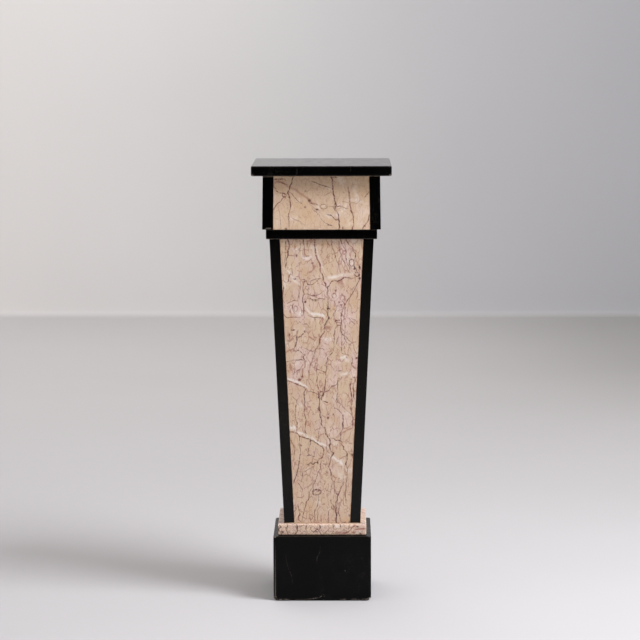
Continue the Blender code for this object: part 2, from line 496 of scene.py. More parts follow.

# %% [markdown]
# ## Cream marble
# The panels are what one looks at: a tan ground with pinkish and ivory clouds, crossed by plum
# brown veins that mostly run upright, white calcite bands and a few rusty stains. Noise alone gives
# a marble, but not this one. So each vein is drawn as a route, the way a marbler lays
# them with a feather: a curve says where the vein is at each height, a second one how dark it is
# there. Noise shakes the whole drawing a little, breaks the veins into beads, frays the white bands
# and fills in the fine crackle between them.

# %% Routes on the shaft's front panel
# Each route starts with half the vein's width in millimetres. Its points say how far right of the
# panel's middle and how far above its foot the vein is, in millimetres, and how strong, 0 to 10.
SHAFT_PLUM = [
    (2.4, (-15.5, 657, 5), (-15, 640, 7), (-13, 625, 8), (-10, 613, 7), (-6.5, 607, 8), (-3, 598, 8),
     (-3.5, 585, 7), (0, 579, 7), (2.5, 573, 9), (4, 563, 7), (8, 557, 9), (10, 550, 8), (14, 544, 9),
     (13, 536, 7), (14, 526, 4), (13.5, 512, 4), (13.5, 504, 7), (13, 498, 9), (15, 491, 5),
     (14, 484, 6), (16, 477, 9), (12, 470, 6), (9, 462, 6), (7, 450, 6), (6, 443, 6), (1, 438, 7),
     (-3, 433, 7), (-5, 427, 7), (-6, 416, 9), (-9, 411, 5), (-11, 407, 7), (-14, 402, 6),
     (-16, 393, 5), (-18, 386, 5), (-22, 380, 4), (-25, 371, 5), (-28, 361, 5), (-29, 350, 5),
     (-29, 342, 4), (-31, 330, 0)),
    (2.2, (14, 549, 8), (19, 554, 9), (24, 560, 8), (30, 562, 7), (36, 561, 7), (41, 562.5, 10),
     (45, 565, 7), (49, 567, 9), (54, 570, 7), (61, 569, 5), (68, 567, 3), (74, 568, 0)),
    (1.8, (85, 567, 7), (82, 560, 7), (78, 551, 6), (74, 543, 5), (70, 535, 6), (66, 528, 6),
     (60, 521, 7), (56, 514, 8), (53, 508, 9), (50, 500, 5), (46, 496, 6), (45, 488, 6),
     (44.5, 480, 8), (45, 472, 9), (44, 462, 6), (43, 452, 7), (46, 443, 7), (50, 436, 8),
     (55, 434, 6), (58, 428, 6), (63, 424, 5), (68, 421, 5), (71, 418, 0)),
    (1.6, (46, 515, 6), (51, 510, 8), (53, 500, 5), (52, 490, 4), (52, 480, 6), (52, 470, 3),
     (53, 458, 7), (53, 452, 2), (52, 440, 3), (52, 430, 7), (54, 423, 5), (59, 419, 5), (66, 415, 4)),
    (1.7, (28, 515, 5), (31, 509, 5), (33, 503, 8), (31, 495, 5), (28, 489, 7), (27, 484, 9),
     (29, 478, 6), (30, 472, 9), (34, 463, 7), (33, 458, 6), (30, 451, 5), (29, 444, 6),
     (27, 437, 10), (27.5, 430, 6), (27, 420, 5), (27, 410, 4), (26, 404, 3), (24, 398, 5),
     (22, 394, 7), (18, 389, 6), (13, 383, 7), (13, 378, 6), (10.5, 372, 6), (10, 362, 8),
     (8.5, 352, 8), (9.5, 344, 7), (8, 334, 7), (7, 323, 7), (6, 312, 6), (4, 305, 9), (1, 297, 9),
     (-2, 292, 8), (-1, 288, 6), (4, 285, 0)),
    (2.0, (-8, 307, 7), (-7, 298, 10), (-6, 290, 7), (-6, 285, 5), (-5, 275, 7), (-7, 268, 9),
     (-5, 258, 7), (-6, 253, 10), (-5, 247, 8), (-2, 241, 7), (-2, 235, 7), (0, 230, 9), (3, 226, 5),
     (8, 222, 8), (8, 215, 6), (9, 208, 7), (12, 203, 9), (14, 199, 8), (18, 195, 9), (18, 187, 7),
     (17, 179, 9), (18, 175, 8), (21, 168, 7), (26, 163, 9), (24, 159, 7), (20, 152, 6),
     (19, 147, 5), (17, 140, 6), (15, 134, 6), (18, 128, 6), (20, 121, 10), (21, 112, 5),
     (21, 106, 6), (25, 101, 7), (29, 96, 5), (29, 86, 5), (29, 78, 4), (32, 71, 6), (35, 66, 9),
     (35, 58, 6), (33, 51, 8), (32, 42, 7), (31.5, 34, 7), (30.5, 27, 8), (32.5, 19, 8),
     (32, 10, 8), (33, 0, 6)),
    (1.8, (1, 297, 9), (4, 301, 9), (8, 305.5, 8), (14, 309, 7), (18, 313, 7), (24, 320, 9),
     (30, 321, 6), (35, 325, 8), (38, 330, 7), (41, 333, 0)),
    (1.6, (37, 336, 5), (37, 326, 6), (35, 317, 5), (36, 307, 5), (34, 297, 5), (33, 290, 8),
     (35, 284, 7), (40, 279, 5), (44, 276, 6), (50, 271, 5), (53, 264, 0)),
    (2.2, (66, 327, 4), (65, 320, 9), (65, 314, 9), (66, 308, 8), (67, 301, 9), (68, 290, 6),
     (68, 280, 5), (66, 272, 5), (66, 267, 9), (68, 257, 5), (70, 245, 5), (70, 236, 5), (71, 229, 8)),
    (1.7, (73, 340, 6), (75, 333, 7), (72, 324, 5), (72, 315, 8), (73, 305, 7), (72, 297, 9),
     (74, 289, 3), (75, 280, 0)),
    (1.5, (21, 652, 4), (24, 640, 5), (28, 628, 6), (31, 618, 6), (34, 609, 5), (37, 602, 6),
     (40, 592, 5), (43, 583, 4), (45, 576, 0)),
    (1.5, (38, 650, 6), (40, 638, 5), (42, 627, 5), (44, 617, 5), (48, 610, 5), (52, 605, 6),
     (56, 599, 5), (58, 590, 5), (62, 583, 5), (68, 577, 0)),
    (1.6, (43, 656, 7), (46, 646, 8), (51, 636, 6), (55, 628, 6), (55, 620, 4), (56, 611, 8),
     (58, 603, 5), (62, 595, 5), (66, 586, 4), (70, 580, 0)),
    (1.7, (57, 655, 6), (59, 648, 7), (64, 641, 6), (70, 637, 9), (71, 630, 6), (74, 626, 7),
     (77, 621, 10), (75, 613, 4), (73, 606, 5), (74, 597, 6), (74, 591, 9), (79, 588, 8), (80, 580, 3)),
    (1.9, (-75, 656, 8), (-73, 648, 5), (-73, 640, 4), (-76, 631, 8), (-76, 622, 9), (-79, 611, 6),
     (-80, 602, 7), (-81, 595, 9), (-82, 588, 0)),
    (1.4, (-81, 652, 6), (-81, 640, 5), (-83, 628, 6), (-82, 617, 4), (-84, 605, 2), (-86, 595, 0)),
    (1.3, (-49, 650, 5), (-48, 640, 5), (-50, 631, 5), (-51, 620, 0)),
    (1.5, (-42, 657, 6), (-41, 650, 9), (-40, 642, 4), (-38, 630, 3), (-35, 620, 5), (-32, 615, 0)),
    (1.7, (0, 568, 0), (-5, 568, 5), (-12, 567, 6), (-19, 565, 7), (-26, 562, 5), (-30, 558, 0)),
    (1.6, (-8, 566, 6), (-12, 562, 7), (-16, 557, 6), (-21, 554, 7), (-30, 554, 9), (-35, 561, 9),
     (-38, 565, 6), (-44, 564, 5), (-50, 563, 0)),
    (1.6, (-38, 563, 5), (-41, 555, 7), (-43, 546, 6), (-42, 538, 7), (-39, 532, 5), (-42, 527, 8),
     (-43, 519, 7), (-42, 512, 7), (-40, 504, 9), (-41, 495, 7), (-42, 486, 5), (-40, 479, 5),
     (-42, 470, 0)),
    (1.4, (-41, 528, 7), (-35, 533, 4), (-28, 530, 7), (-22, 528, 8), (-12, 529, 6), (-4, 532, 6),
     (2, 537, 5), (8, 541, 0)),
    (1.8, (-86, 549, 4), (-86, 539, 9), (-88, 532, 8), (-88, 524, 5), (-85, 514, 6), (-81, 508, 0)),
    (1.5, (-50, 548, 4), (-50, 538, 6), (-51, 528, 7), (-50, 516, 0)),
    (1.4, (-30, 521, 0), (-25, 521, 7), (-20, 519, 9), (-13, 519, 7), (-8, 521, 8), (-2, 521, 5),
     (5, 521, 5), (10, 519, 0)),
    (1.4, (-80, 509, 0), (-75, 511, 4), (-68, 514, 5), (-60, 517, 9), (-55, 517, 5), (-50, 515, 0)),
    (1.3, (-72, 504, 3), (-71, 492, 5), (-69, 484, 0)),
    (1.4, (-65, 508, 5), (-67, 499, 8), (-64, 491, 6), (-61, 488, 5), (-60, 483, 0)),
    (1.5, (-86, 484, 3), (-78, 478, 8), (-70, 479, 6), (-60, 478.5, 6), (-50, 479, 4), (-44, 481, 0)),
    (1.4, (-33, 490, 5), (-29, 483, 4), (-20, 479, 6), (-10, 478, 7), (-2, 477, 6), (6, 473, 0)),
    (1.3, (-44, 462, 3), (-36, 463, 7), (-31, 460, 7), (-28, 455, 5), (-24, 450, 0)),
    (2.2, (-43, 441, 8), (-46, 437, 10), (-50, 434, 9), (-54, 433, 8), (-59, 434, 0)),
    (1.8, (-53, 450, 5), (-56, 441, 4), (-57, 433, 9), (-57, 425, 6), (-59, 418, 9), (-61, 410, 7),
     (-63, 403, 9), (-62, 398, 0)),
    (1.8, (-58, 401, 5), (-52, 402, 7), (-49, 399, 6), (-45, 395, 9), (-41, 392, 8), (-38, 391, 0)),
    (1.7, (-39, 391, 6), (-43, 386, 10), (-41, 381, 7), (-38, 376, 9), (-38, 369, 6), (-39, 363, 7),
     (-42, 360, 4), (-44, 350, 5), (-45, 342, 10), (-47, 336, 7), (-51, 333, 9), (-52, 328, 0)),
    (1.2, (-50, 411, 0), (-40, 408, 3), (-30, 403, 6), (-20, 400, 6), (-15, 402, 5), (-11, 406, 0)),
    (1.4, (-8, 405, 4), (0, 406, 7), (6, 404, 4), (10, 402, 0)),
    (1.4, (36, 429, 5), (35, 425, 7), (33, 419, 6), (32, 414, 0)),
    (1.4, (47, 452, 2), (46, 430, 3), (46, 410, 5), (44, 401, 5), (47, 396, 5), (50, 394, 0)),
    (1.3, (42, 399, 0), (48, 397, 5), (55, 393, 5), (61, 391, 8), (63, 387, 0)),
    (1.5, (61, 477, 3), (65, 472, 7), (70, 466, 9), (74, 464, 7), (77, 462, 0)),
    (1.4, (66, 477, 3), (70, 474, 6), (75, 473, 6), (80, 474, 0)),
    (1.4, (-81, 376, 5), (-72, 377, 5), (-62, 380, 6), (-50, 380, 7), (-44, 379, 6), (-40, 377, 0)),
    (1.3, (-66, 347, 3), (-60, 352, 6), (-56, 355, 7), (-50, 357, 4), (-44, 360, 0)),
    (1.4, (-21, 368, 0), (-16, 363, 5), (-10, 359, 7), (-5, 357, 6), (0, 355, 6), (6, 353, 8),
     (10, 352, 0)),
    (1.5, (-12, 362, 3), (-12, 345, 5), (-12, 333, 7), (-11, 325, 4), (-9, 316, 8), (-5, 312, 4),
     (-2, 308, 7)),
    (1.3, (-36, 341, 0), (-34, 335, 6), (-30, 337, 4), (-24, 335, 7), (-21, 330, 6), (-19, 327, 0)),
    (1.6, (-31, 308, 4), (-25, 308, 6), (-20, 306, 7), (-15, 304, 6), (-8, 301, 7)),
    (1.7, (4, 286, 4), (8, 284, 8), (12, 282, 9), (15, 280, 0)),
    (1.4, (30, 269, 3), (35, 266, 6), (40, 262, 7), (44, 257, 7), (46, 253, 0)),
    (1.7, (47, 252, 7), (48, 241, 7), (47, 233, 9), (48, 226, 7), (46, 217, 5), (43, 209, 6),
     (42, 200, 6), (42, 194, 9), (46, 191, 7), (46, 185, 7), (50, 180, 7), (49, 174, 9), (53, 170, 6),
     (56, 165, 9), (56, 157, 7), (57, 148, 7), (55, 140, 9), (57, 134, 7), (59, 124, 4), (57, 112, 4),
     (56, 102, 5), (55, 92, 5), (54, 78, 5), (53, 65, 7), (54, 52, 6), (55, 43, 0)),
    (1.6, (20, 199, 3), (26, 198, 6), (31, 195, 7), (36, 193.5, 8), (42, 194, 9), (48, 191, 0)),
    (1.9, (-79, 332, 4), (-70, 330, 6), (-62, 326, 9), (-55, 323, 9), (-48, 321, 9), (-43, 319, 8),
     (-38, 314, 0)),
    (1.6, (-40, 318, 4), (-38, 311, 6), (-41, 304, 7), (-41, 296, 8), (-40, 288, 7), (-40, 277, 4),
     (-40, 265, 5), (-39, 250, 8), (-37, 240, 5), (-37, 232, 7), (-39, 222, 5), (-38, 212, 7),
     (-35, 206, 0)),
    (1.6, (-66, 294, 4), (-62, 290, 6), (-58, 287, 6), (-58, 281, 4), (-61, 273, 7), (-60, 264, 5),
     (-61, 254, 7), (-60, 246, 6), (-59, 240, 9), (-56, 233, 8), (-57, 224, 5), (-57, 215, 6),
     (-55, 209, 8), (-52, 203, 8), (-51, 190, 5), (-50, 177, 4), (-49, 166, 5), (-51, 156, 6),
     (-52, 145, 7), (-54, 135, 6), (-57, 121, 8), (-60, 109, 9), (-63, 101, 9), (-65, 95, 8),
     (-66, 90, 0)),
    (1.8, (-75, 215, 9), (-68, 213, 8), (-62, 211, 5), (-56, 210, 7), (-50, 203, 8), (-42, 200, 8),
     (-36, 198, 9), (-30, 197, 7), (-26, 194, 9), (-20, 192, 9), (-14, 188, 9), (-8, 184, 8),
     (-3, 181, 8), (2, 177, 0)),
    (1.7, (1, 179, 7), (3, 172, 8), (3, 165, 7), (1, 158, 6), (-2, 152, 10), (-6, 150, 6),
     (-9, 146, 5), (-10, 141, 9), (-9, 136, 0)),
    (1.5, (-27, 195, 9), (-27, 187, 6), (-29, 180, 6), (-31, 174, 8), (-31, 166, 0)),
    (1.3, (-10, 221, 0), (-8, 214, 5), (-7, 208, 6), (-6, 200, 6), (-9, 193, 7), (-11, 190, 0)),
    (1.4, (-70, 198, 2), (-70, 193, 8), (-66, 184, 6), (-63, 173, 6), (-64, 163, 7), (-66, 156, 0)),
    (1.5, (-38, 153, 0), (-34, 158, 8), (-29, 160, 8), (-24, 160, 4), (-19, 156, 8), (-15, 158, 0)),
    (1.8, (-36, 138, 3), (-31, 139, 6), (-26, 142, 8), (-21, 139, 10), (-15, 142, 7), (-10, 142, 9),
     (-6, 140, 0)),
    (1.5, (10, 178, 3), (12, 170, 5), (16, 164, 5), (21, 159, 0)),
    (1.3, (-2, 148, 5), (-3, 137, 6), (-4, 128, 6), (-8, 121, 5), (-10, 113, 9), (-13, 108, 7),
     (-15, 103, 8), (-17, 95, 6), (-20, 91, 6), (-21, 84, 7), (-26, 78, 5), (-30, 70, 6),
     (-31, 64, 7), (-31, 58, 9), (-35, 50, 7), (-36, 45, 6), (-38, 38, 9), (-41, 32, 8), (-43, 25, 9),
     (-44, 17, 6), (-45, 8, 6), (-45, 0, 5)),
    (1.6, (-22, 64, 0), (-25, 63, 9), (-29, 60, 9), (-32, 57, 8), (-34, 54, 0)),
    (1.4, (-20, 134, 4), (-27, 129, 5), (-33, 126, 6), (-36, 123, 9), (-40, 120, 0)),
    (1.2, (-43, 130, 4), (-45, 122, 4), (-45, 115, 9), (-46, 107, 3), (-47, 100, 5), (-46, 94, 0)),
    (1.3, (-57, 93, 4), (-54, 92, 8), (-50, 87, 7), (-46, 82, 6), (-45, 75, 0)),
    (1.6, (-60, 42, 4), (-60, 34, 8), (-63, 29, 8), (-65, 24, 0)),
    (1.7, (-55, 44, 3), (-54, 36, 7), (-53, 28, 6), (-52, 22, 9), (-55, 16, 8), (-54, 11, 7),
     (-51, 7, 9), (-47, 3, 7)),
    (1.3, (-29, 35, 0), (-28, 24, 5), (-28, 10, 6), (-25, 3, 7)),
    (1.3, (-10, 66, 4), (-8, 57, 7), (-10, 47, 6), (-12, 38, 6), (-17, 29, 7), (-17, 16, 5),
     (-18, 4, 5)),
    (1.2, (-12, 32, 0), (-10, 24, 6), (-10, 4, 5)),
    (1.5, (25, 57, 0), (19, 54, 6), (19, 47, 5), (24, 43, 9), (27, 38, 8), (24, 33, 6), (17, 31, 5),
     (15, 24, 6), (14, 14, 6), (15, 2, 5)),
    (1.7, (48, 112, 4), (47, 104, 5), (47, 97, 10), (47, 90, 10), (44, 86, 5), (42, 80, 7),
     (40, 76, 10), (38, 70, 10), (36, 65, 9), (34, 60, 0)),
    (1.2, (25, 97, 3), (22, 88, 4), (20, 79, 4), (20, 72, 7), (21, 66, 0)),
    (1.2, (8, 81, 5), (11, 77, 7), (16, 74, 5), (20, 72, 0)),
    (1.2, (10, 124, 0), (9, 121, 8), (12, 117, 6), (16, 114, 0)),
    (1.2, (29, 95, 0), (34, 96, 5), (39, 96, 5), (44, 94, 0)),
    (1.3, (38, 52, 0), (40, 45, 5), (38, 30, 5), (38, 22, 7), (41, 14, 4), (43, 5, 5)),
    (1.5, (84, 545, 0), (81, 537, 6), (82, 531, 6), (80, 524, 4), (78, 515, 0)),
    (1.3, (-67, 600, 4), (-67, 588, 6), (-66, 577, 4), (-66, 570, 0)),
    (1.5, (-70, 577, 7), (-74, 568, 5), (-75, 561, 7), (-78, 555, 0)),
    (1.2, (-81, 366, 0), (-72, 363, 5), (-65, 361, 6), (-63, 352, 6), (-64, 343, 0)),
    (1.3, (69, 388, 4), (70, 380, 5), (68, 371, 7), (72, 365, 6), (75, 361, 9), (78, 358, 0)),
]
SHAFT_RUST = [
    (3.0, (-64, 403, 4), (-70, 402, 9), (-75, 400, 8), (-79, 398, 10), (-84, 395, 6)),
    (3.2, (-47, 363, 0), (-44, 358, 8), (-45, 350, 6), (-46, 346, 0)),
    (3.4, (-46, 287, 4), (-43, 279, 6), (-39, 272, 7), (-36, 266, 9), (-33, 259, 0)),
    (3.2, (72, 226, 3), (68, 222, 9), (62, 220, 9), (57, 218, 6), (54, 215, 10), (49, 213, 8),
     (45, 208, 5), (40, 207, 0)),
    (2.4, (66, 227, 4), (58, 224, 6), (51, 222, 6), (46, 217, 6), (42, 211, 6), (37, 205, 6),
     (33, 201, 7), (29, 199, 0)),
    (2.6, (-69, 98, 3), (-64, 97, 9), (-61, 92, 4), (-61, 84, 3), (-62, 78, 0)),
    (3.0, (-33, 653, 3), (-32, 645, 8), (-34, 638, 0)),
    (2.4, (-88, 640, 5), (-84, 638, 5), (-80, 634, 6), (-79, 628, 5), (-78, 622, 0)),
    (2.4, (22, 652, 0), (14, 648, 8), (17, 643, 9), (19, 637, 0)),
]
SHAFT_CALCITE = [
    (5.0, (-85, 591, 4), (-78, 586, 7), (-72, 579, 8), (-66, 571, 6), (-60, 561, 7), (-54, 555, 6),
     (-49, 549, 0)),
    (6.0, (10, 571, 0), (16, 569, 6), (26, 571, 9), (36, 572, 8), (46, 575, 6), (58, 577, 4),
     (72, 580, 3), (84, 583, 0)),
    (5.0, (-40, 504, 0), (-33, 497, 6), (-27, 490, 8), (-20, 487, 9), (-12, 486, 10), (-3, 484, 10),
     (5, 480, 8), (12, 474, 0)),
    (4.6, (-83, 338, 4), (-76, 336.5, 9), (-68, 334, 9), (-60, 331, 9), (-52, 328, 10), (-44, 324, 9),
     (-36, 319, 9), (-32, 314, 5), (-30, 306, 0)),
    (4.4, (-60, 214, 4), (-53, 212, 9), (-46, 209, 9), (-38, 205, 9), (-30, 201, 7), (-22, 198, 7),
     (-15, 193, 8), (-8, 189, 9), (0, 185, 9), (9, 181, 7), (16, 177, 4), (22, 172, 0)),
    (6.0, (14, 158, 3), (22, 155, 6), (29, 151, 9), (36, 147, 9), (42, 143, 10), (48, 138, 8),
     (52, 132, 3), (57, 124, 4), (63, 117, 0)),
    (2.6, (-12, 640, 3), (-10, 628, 6), (-5, 616, 6), (0, 600, 6), (5, 588, 5), (9, 575, 0)),
    (2.2, (-45, 640, 3), (-44, 620, 5), (-38, 606, 0)),
]
# Clouds and spots: place across and up, half width, half height, strength 0 to 10.
SHAFT_WHITE_CLOUDS = [
    (-56, 632, 10, 7, 6), (-36, 615, 12, 8, 6), (-79, 557, 9, 9, 5), (-46, 490, 8, 7, 9),
    (12, 427, 15, 5, 7), (52, 383, 15, 6, 9), (54, 348, 13, 5, 7), (-67, 222, 9, 7, 10),
    (43, 145, 9, 8, 7), (30, 186, 10, 9, 5), (64, 126, 6, 8, 5), (-38, 452, 9, 8, 4),
    (36, 495, 7, 9, 5), (66, 605, 6, 9, 6), (60, 256, 9, 7, 4), (-76, 415, 7, 8, 4),
    (70, 655, 10, 6, 4), (33, 530, 8, 9, 4), (-64, 492, 12, 8, 4), (-58, 372, 9, 6, 4),
    (28, 290, 6, 12, 3), (-60, 448, 8, 12, 3), (-86, 548, 5, 12, 4), (26, 650, 9, 6, 4),
]
SHAFT_PINK_CLOUDS = [
    (-33, 613, 10, 7, 8), (16, 190, 7, 8, 9), (8, 545, 10, 18, 7), (50, 470, 14, 16, 6),
    (-15, 525, 22, 6, 6), (38, 373, 9, 6, 8), (72, 350, 8, 16, 7), (-8, 118, 9, 9, 6),
    (24, 212, 16, 14, 5), (70, 600, 8, 20, 7), (60, 478, 10, 7, 6), (-86, 560, 5, 22, 4),
    (40, 60, 8, 26, 5), (20, 330, 18, 16, 5), (58, 240, 14, 18, 5), (-13, 82, 12, 10, 6),
    (30, 128, 14, 10, 5), (-74, 500, 10, 22, 5), (-30, 374, 14, 14, 4), (58, 178, 12, 14, 4),
]
SHAFT_OCHRE_CLOUDS = [
    (58, 9, 10, 11, 8), (-60, 640, 11, 8, 6), (26, 500, 5, 9, 7), (70, 160, 5, 8, 6),
    (-45, 583, 24, 12, 4), (-70, 470, 9, 28, 4), (-71, 358, 8, 14, 5), (-28, 232, 11, 22, 5),
    (-65, 175, 9, 30, 6), (-20, 296, 16, 12, 5), (32, 243, 14, 12, 4), (-30, 140, 18, 16, 4),
    (-55, 68, 14, 22, 4), (-30, 35, 12, 26, 4), (78, 515, 8, 20, 5), (-60, 315, 16, 12, 5),
    (2, 645, 10, 7, 6), (-8, 208, 7, 9, 5), (6, 330, 8, 18, 3), (72, 440, 8, 24, 3),
]
SHAFT_SPOTS = [
    (-57, 619, 3.6, 3.2, 9), (-21, 601, 3.0, 2.8, 8), (-32, 619, 6, 2.5, 5), (-60, 566, 5, 2.6, 8),
    (86, 593, 3.0, 5.0, 10), (75, 590, 5.0, 2.8, 9), (85, 568, 4.2, 2.8, 10), (84, 576, 2.4, 4, 9),
    (32, 540, 2.6, 4.0, 9), (-37, 513, 3.2, 2.8, 10), (-16, 518, 8, 3.0, 6), (-37.5, 446, 3, 3.6, 8),
    (-65, 450, 6, 2.4, 8), (-73, 438, 2.2, 4.5, 8), (-77, 424, 3, 3, 5), (-50, 335, 5.0, 4.6, 9),
    (-45, 342, 3.0, 2.8, 9), (40, 354.5, 7, 1.8, 7), (79, 384, 5, 2.6, 9), (16, 498, 4, 2.4, 8),
    (34, 472, 4, 2.2, 8), (39, 474, 3.4, 2, 9), (3, 299, 2.8, 4.6, 9), (-8, 294, 2.4, 3.6, 8),
    (14, 246, 3, 4, 8), (14, 254, 2.4, 3, 7), (26, 254, 2, 3.6, 8), (-48, 181, 2.8, 3.4, 7),
    (70, 160, 4.0, 5.5, 9), (6, 139, 4.5, 2.4, 7), (-14, 79, 3.6, 2.4, 10), (-9, 75, 4.0, 2, 9),
    (-19, 77, 2.4, 4, 8), (63, 66, 3.4, 1.8, 5), (63, 18, 3.4, 3.4, 7), (65, 3, 7, 3.4, 9),
    (50, 2, 6, 2.2, 8), (-32, 136, 3, 2.6, 6), (40, 513, 3, 3, 7), (44, 507, 3, 2.4, 6),
]
SHAFT_RINGS = [
    (80, 577, 5.5, 5.0, 8), (68, 603, 5.0, 7.5, 6), (39, 464, 5.2, 4.6, 7), (-1, 303, 4.0, 5.0, 6),
    (-12, 73, 9.0, 7.0, 6), (24, 36, 4.2, 4.2, 6), (-25, 15, 3.6, 5.5, 5), (28, 529, 5.0, 5.5, 5),
    (46, 524, 5.0, 6.0, 4), (-33, 546, 4.5, 4.0, 4), (-59, 499, 4.5, 6.5, 5), (37, 500, 4.5, 6.0, 4),
]
print("routes on the shaft:", len(SHAFT_PLUM) + len(SHAFT_RUST) + len(SHAFT_CALCITE))

# %% Routes on the capital's front panel
CAPITAL_PLUM = [
    (1.8, (-64, 121, 9), (-66, 112, 8), (-67, 104, 9), (-70, 98, 8), (-72, 91, 8), (-75, 84, 9),
     (-73, 76, 8), (-71, 67, 8), (-70, 57, 9), (-71, 46, 6), (-74, 34, 6), (-73, 25, 5),
     (-73, 8, 4), (-72, 0, 2)),
    (1.75, (-108, 97, 5), (-103, 93, 8), (-101, 88, 8), (-96, 84, 6), (-90, 83, 5), (-84, 82, 8),
     (-79, 80, 9), (-76, 84, 5)),
    (1.8, (-78, 78, 7), (-83, 74, 10), (-88, 71, 8), (-94, 63, 7), (-99, 58, 9), (-103, 52, 7),
     (-108, 45, 6)),
    (1.9, (22, 120, 9), (25, 111, 9), (26, 101, 9), (27, 92, 9), (27, 82, 9), (29.5, 73, 9),
     (30, 66, 9), (32.5, 60, 10), (33, 54, 10), (32.5, 48, 9), (35, 41, 7), (38, 34, 7), (39, 25, 8),
     (39, 15, 9), (40, 8, 8), (39, 0, 8)),
    (1.6, (31, 59, 7), (28, 51, 7), (30, 45, 9), (32, 41, 0)),
    (1.9, (60, 96, 3), (62, 84, 7), (63, 73, 8), (64, 62, 7), (65, 52, 9), (66.5, 42, 8),
     (70, 33, 7), (72, 25, 7), (72, 15, 6), (71, 8, 8), (69, 0, 8)),
    (1.9, (106, 84, 9), (102, 80, 9), (99, 75, 5), (96, 70, 0)),
    (1.9, (107, 33, 6), (106, 25, 7), (103, 17, 7), (99, 11, 7), (96, 7, 9), (93, 4, 9), (92, 0, 2)),
    (1.6, (-24, 110, 0), (-17, 108, 6), (-9, 104, 7), (0, 100, 6), (10, 96.5, 7), (18, 95, 4),
     (24, 93, 0)),
    (1.6, (10, 35, 3), (15, 33, 6), (21, 31, 7), (26, 27, 8), (32, 22, 7), (38, 22, 6)),
    (1.4, (-74, 86, 6), (-66, 80, 7), (-60, 73, 7), (-53, 66, 6), (-46, 61, 6), (-38, 57, 0)),
    (1.5, (-24, 50, 0), (-21, 47, 6), (-18, 43, 7), (-12, 40, 5), (-8, 35, 4), (-2, 26, 4),
     (5, 18, 4), (12, 14, 5), (17, 11, 8), (23, 10, 7), (27, 9, 0)),
    (1.6, (-26, 61, 4), (-20, 59, 6), (-12, 57, 6), (-4, 55, 0)),
    (1.6, (10, 53, 4), (20, 52, 3), (30, 53, 6), (40, 53, 7), (48, 50, 5), (56, 48, 4), (64, 47, 0)),
    (1.2, (-97, 52, 3), (-94, 36, 4), (-92, 20, 5), (-91, 3, 4)),
    (1.3, (-70, 30, 0), (-64, 26, 6), (-58, 23, 7), (-50, 20, 3), (-44, 12, 4), (-39, 6, 0)),
    (1.2, (-6, 75, 0), (8, 78, 3), (18, 84, 5), (26, 86, 0)),
    (1.6, (-106, 114, 7), (-96, 113, 7), (-86, 115, 8), (-79, 112, 5), (-76, 106, 0)),
    (1.4, (-100, 109, 4), (-90, 107, 7), (-82, 104, 7), (-75, 103, 5), (-71, 98, 0)),
    (1.2, (-4, 120, 6), (10, 118, 4), (24, 118, 7), (33, 117, 6), (40, 118, 0)),
    (1.2, (45, 61, 0), (48, 62, 5), (58, 60, 3), (76, 60, 3), (86, 66, 4), (92, 68, 0)),
]
CAPITAL_RUST = [
    (4.6, (-71, 96, 5), (-62, 91, 6), (-55, 86, 9), (-49, 83, 7), (-40, 77, 7), (-33, 71, 9),
     (-27, 66, 10), (-22, 62, 9), (-17, 59, 5), (-10, 57, 0)),
    (3.0, (-30, 66, 0), (-27, 61, 8), (-24, 55, 6), (-19, 50, 5), (-14, 47, 6), (-9, 45, 9),
     (-5, 43, 6), (0, 40, 0)),
    (3.8, (-104, 107, 4), (-94, 108, 7), (-84, 105, 9), (-77, 101, 8), (-72, 96, 4)),
]
CAPITAL_CALCITE = [
    (7.0, (-2, 38, 0), (8, 34, 5), (20, 30, 6), (32, 33, 7), (44, 40, 8), (52, 50, 8), (58, 60, 7),
     (60, 72, 5), (61, 86, 3), (62, 100, 0)),
    (5.0, (60, 66, 4), (72, 67, 6), (84, 66, 6), (96, 60, 5), (106, 58, 3)),
    (3.2, (-74, 16, 2), (-66, 26, 6), (-58, 24, 5), (-50, 20, 0)),
]
CAPITAL_WHITE_CLOUDS = [
    (92, 40, 16, 16, 7), (90, 14, 12, 14, 5), (44, 55, 8, 8, 6), (38, 31, 6, 6, 8), (5, 53, 4, 3, 7),
    (-96, 20, 12, 22, 4), (18, 94, 10, 6, 5), (-60, 28, 8, 6, 5), (56, 30, 8, 16, 4),
]
CAPITAL_PINK_CLOUDS = [
    (54, 66, 14, 20, 8), (38, 50, 14, 10, 7), (-10, 34, 18, 10, 6), (-60, 90, 18, 12, 5),
    (40, 12, 5, 14, 7), (72, 14, 6, 16, 6), (-84, 100, 14, 10, 4), (12, 96, 16, 8, 5),
]
CAPITAL_OCHRE_CLOUDS = [
    (53, 20, 5.5, 8, 8), (-48, 56, 22, 10, 5), (-30, 34, 22, 16, 4), (96, 84, 14, 12, 5),
    (-92, 92, 12, 10, 5), (22, 18, 14, 12, 3), (-50, 76, 16, 8, 5), (104, 108, 6, 6, 6),
]
CAPITAL_SPOTS = [
    (-36, 50, 3.2, 2.6, 7), (50, 83, 2.6, 2.4, 6), (17, 83, 2.4, 2.4, 6), (-83, 74, 4.4, 3, 9),
    (-10, 45, 4.0, 2.2, 9), (48, 4, 2.6, 4, 7), (-80, 3, 3.0, 2.6, 7), (98, 8, 3, 3, 7),
    (30, 118, 6, 3, 7), (-27, 66, 5, 4, 8), (-95, 115, 10, 2.6, 7), (108, 109, 3, 5, 7),
    (16, 11, 4, 2, 7), (-36, 88, 3, 2.4, 5),
]
CAPITAL_RINGS = [
    (5, 52, 7.0, 4.6, 5), (-83, 78, 5.0, 4.4, 6),
]
print("routes on the capital:", len(CAPITAL_PLUM) + len(CAPITAL_RUST) + len(CAPITAL_CALCITE))

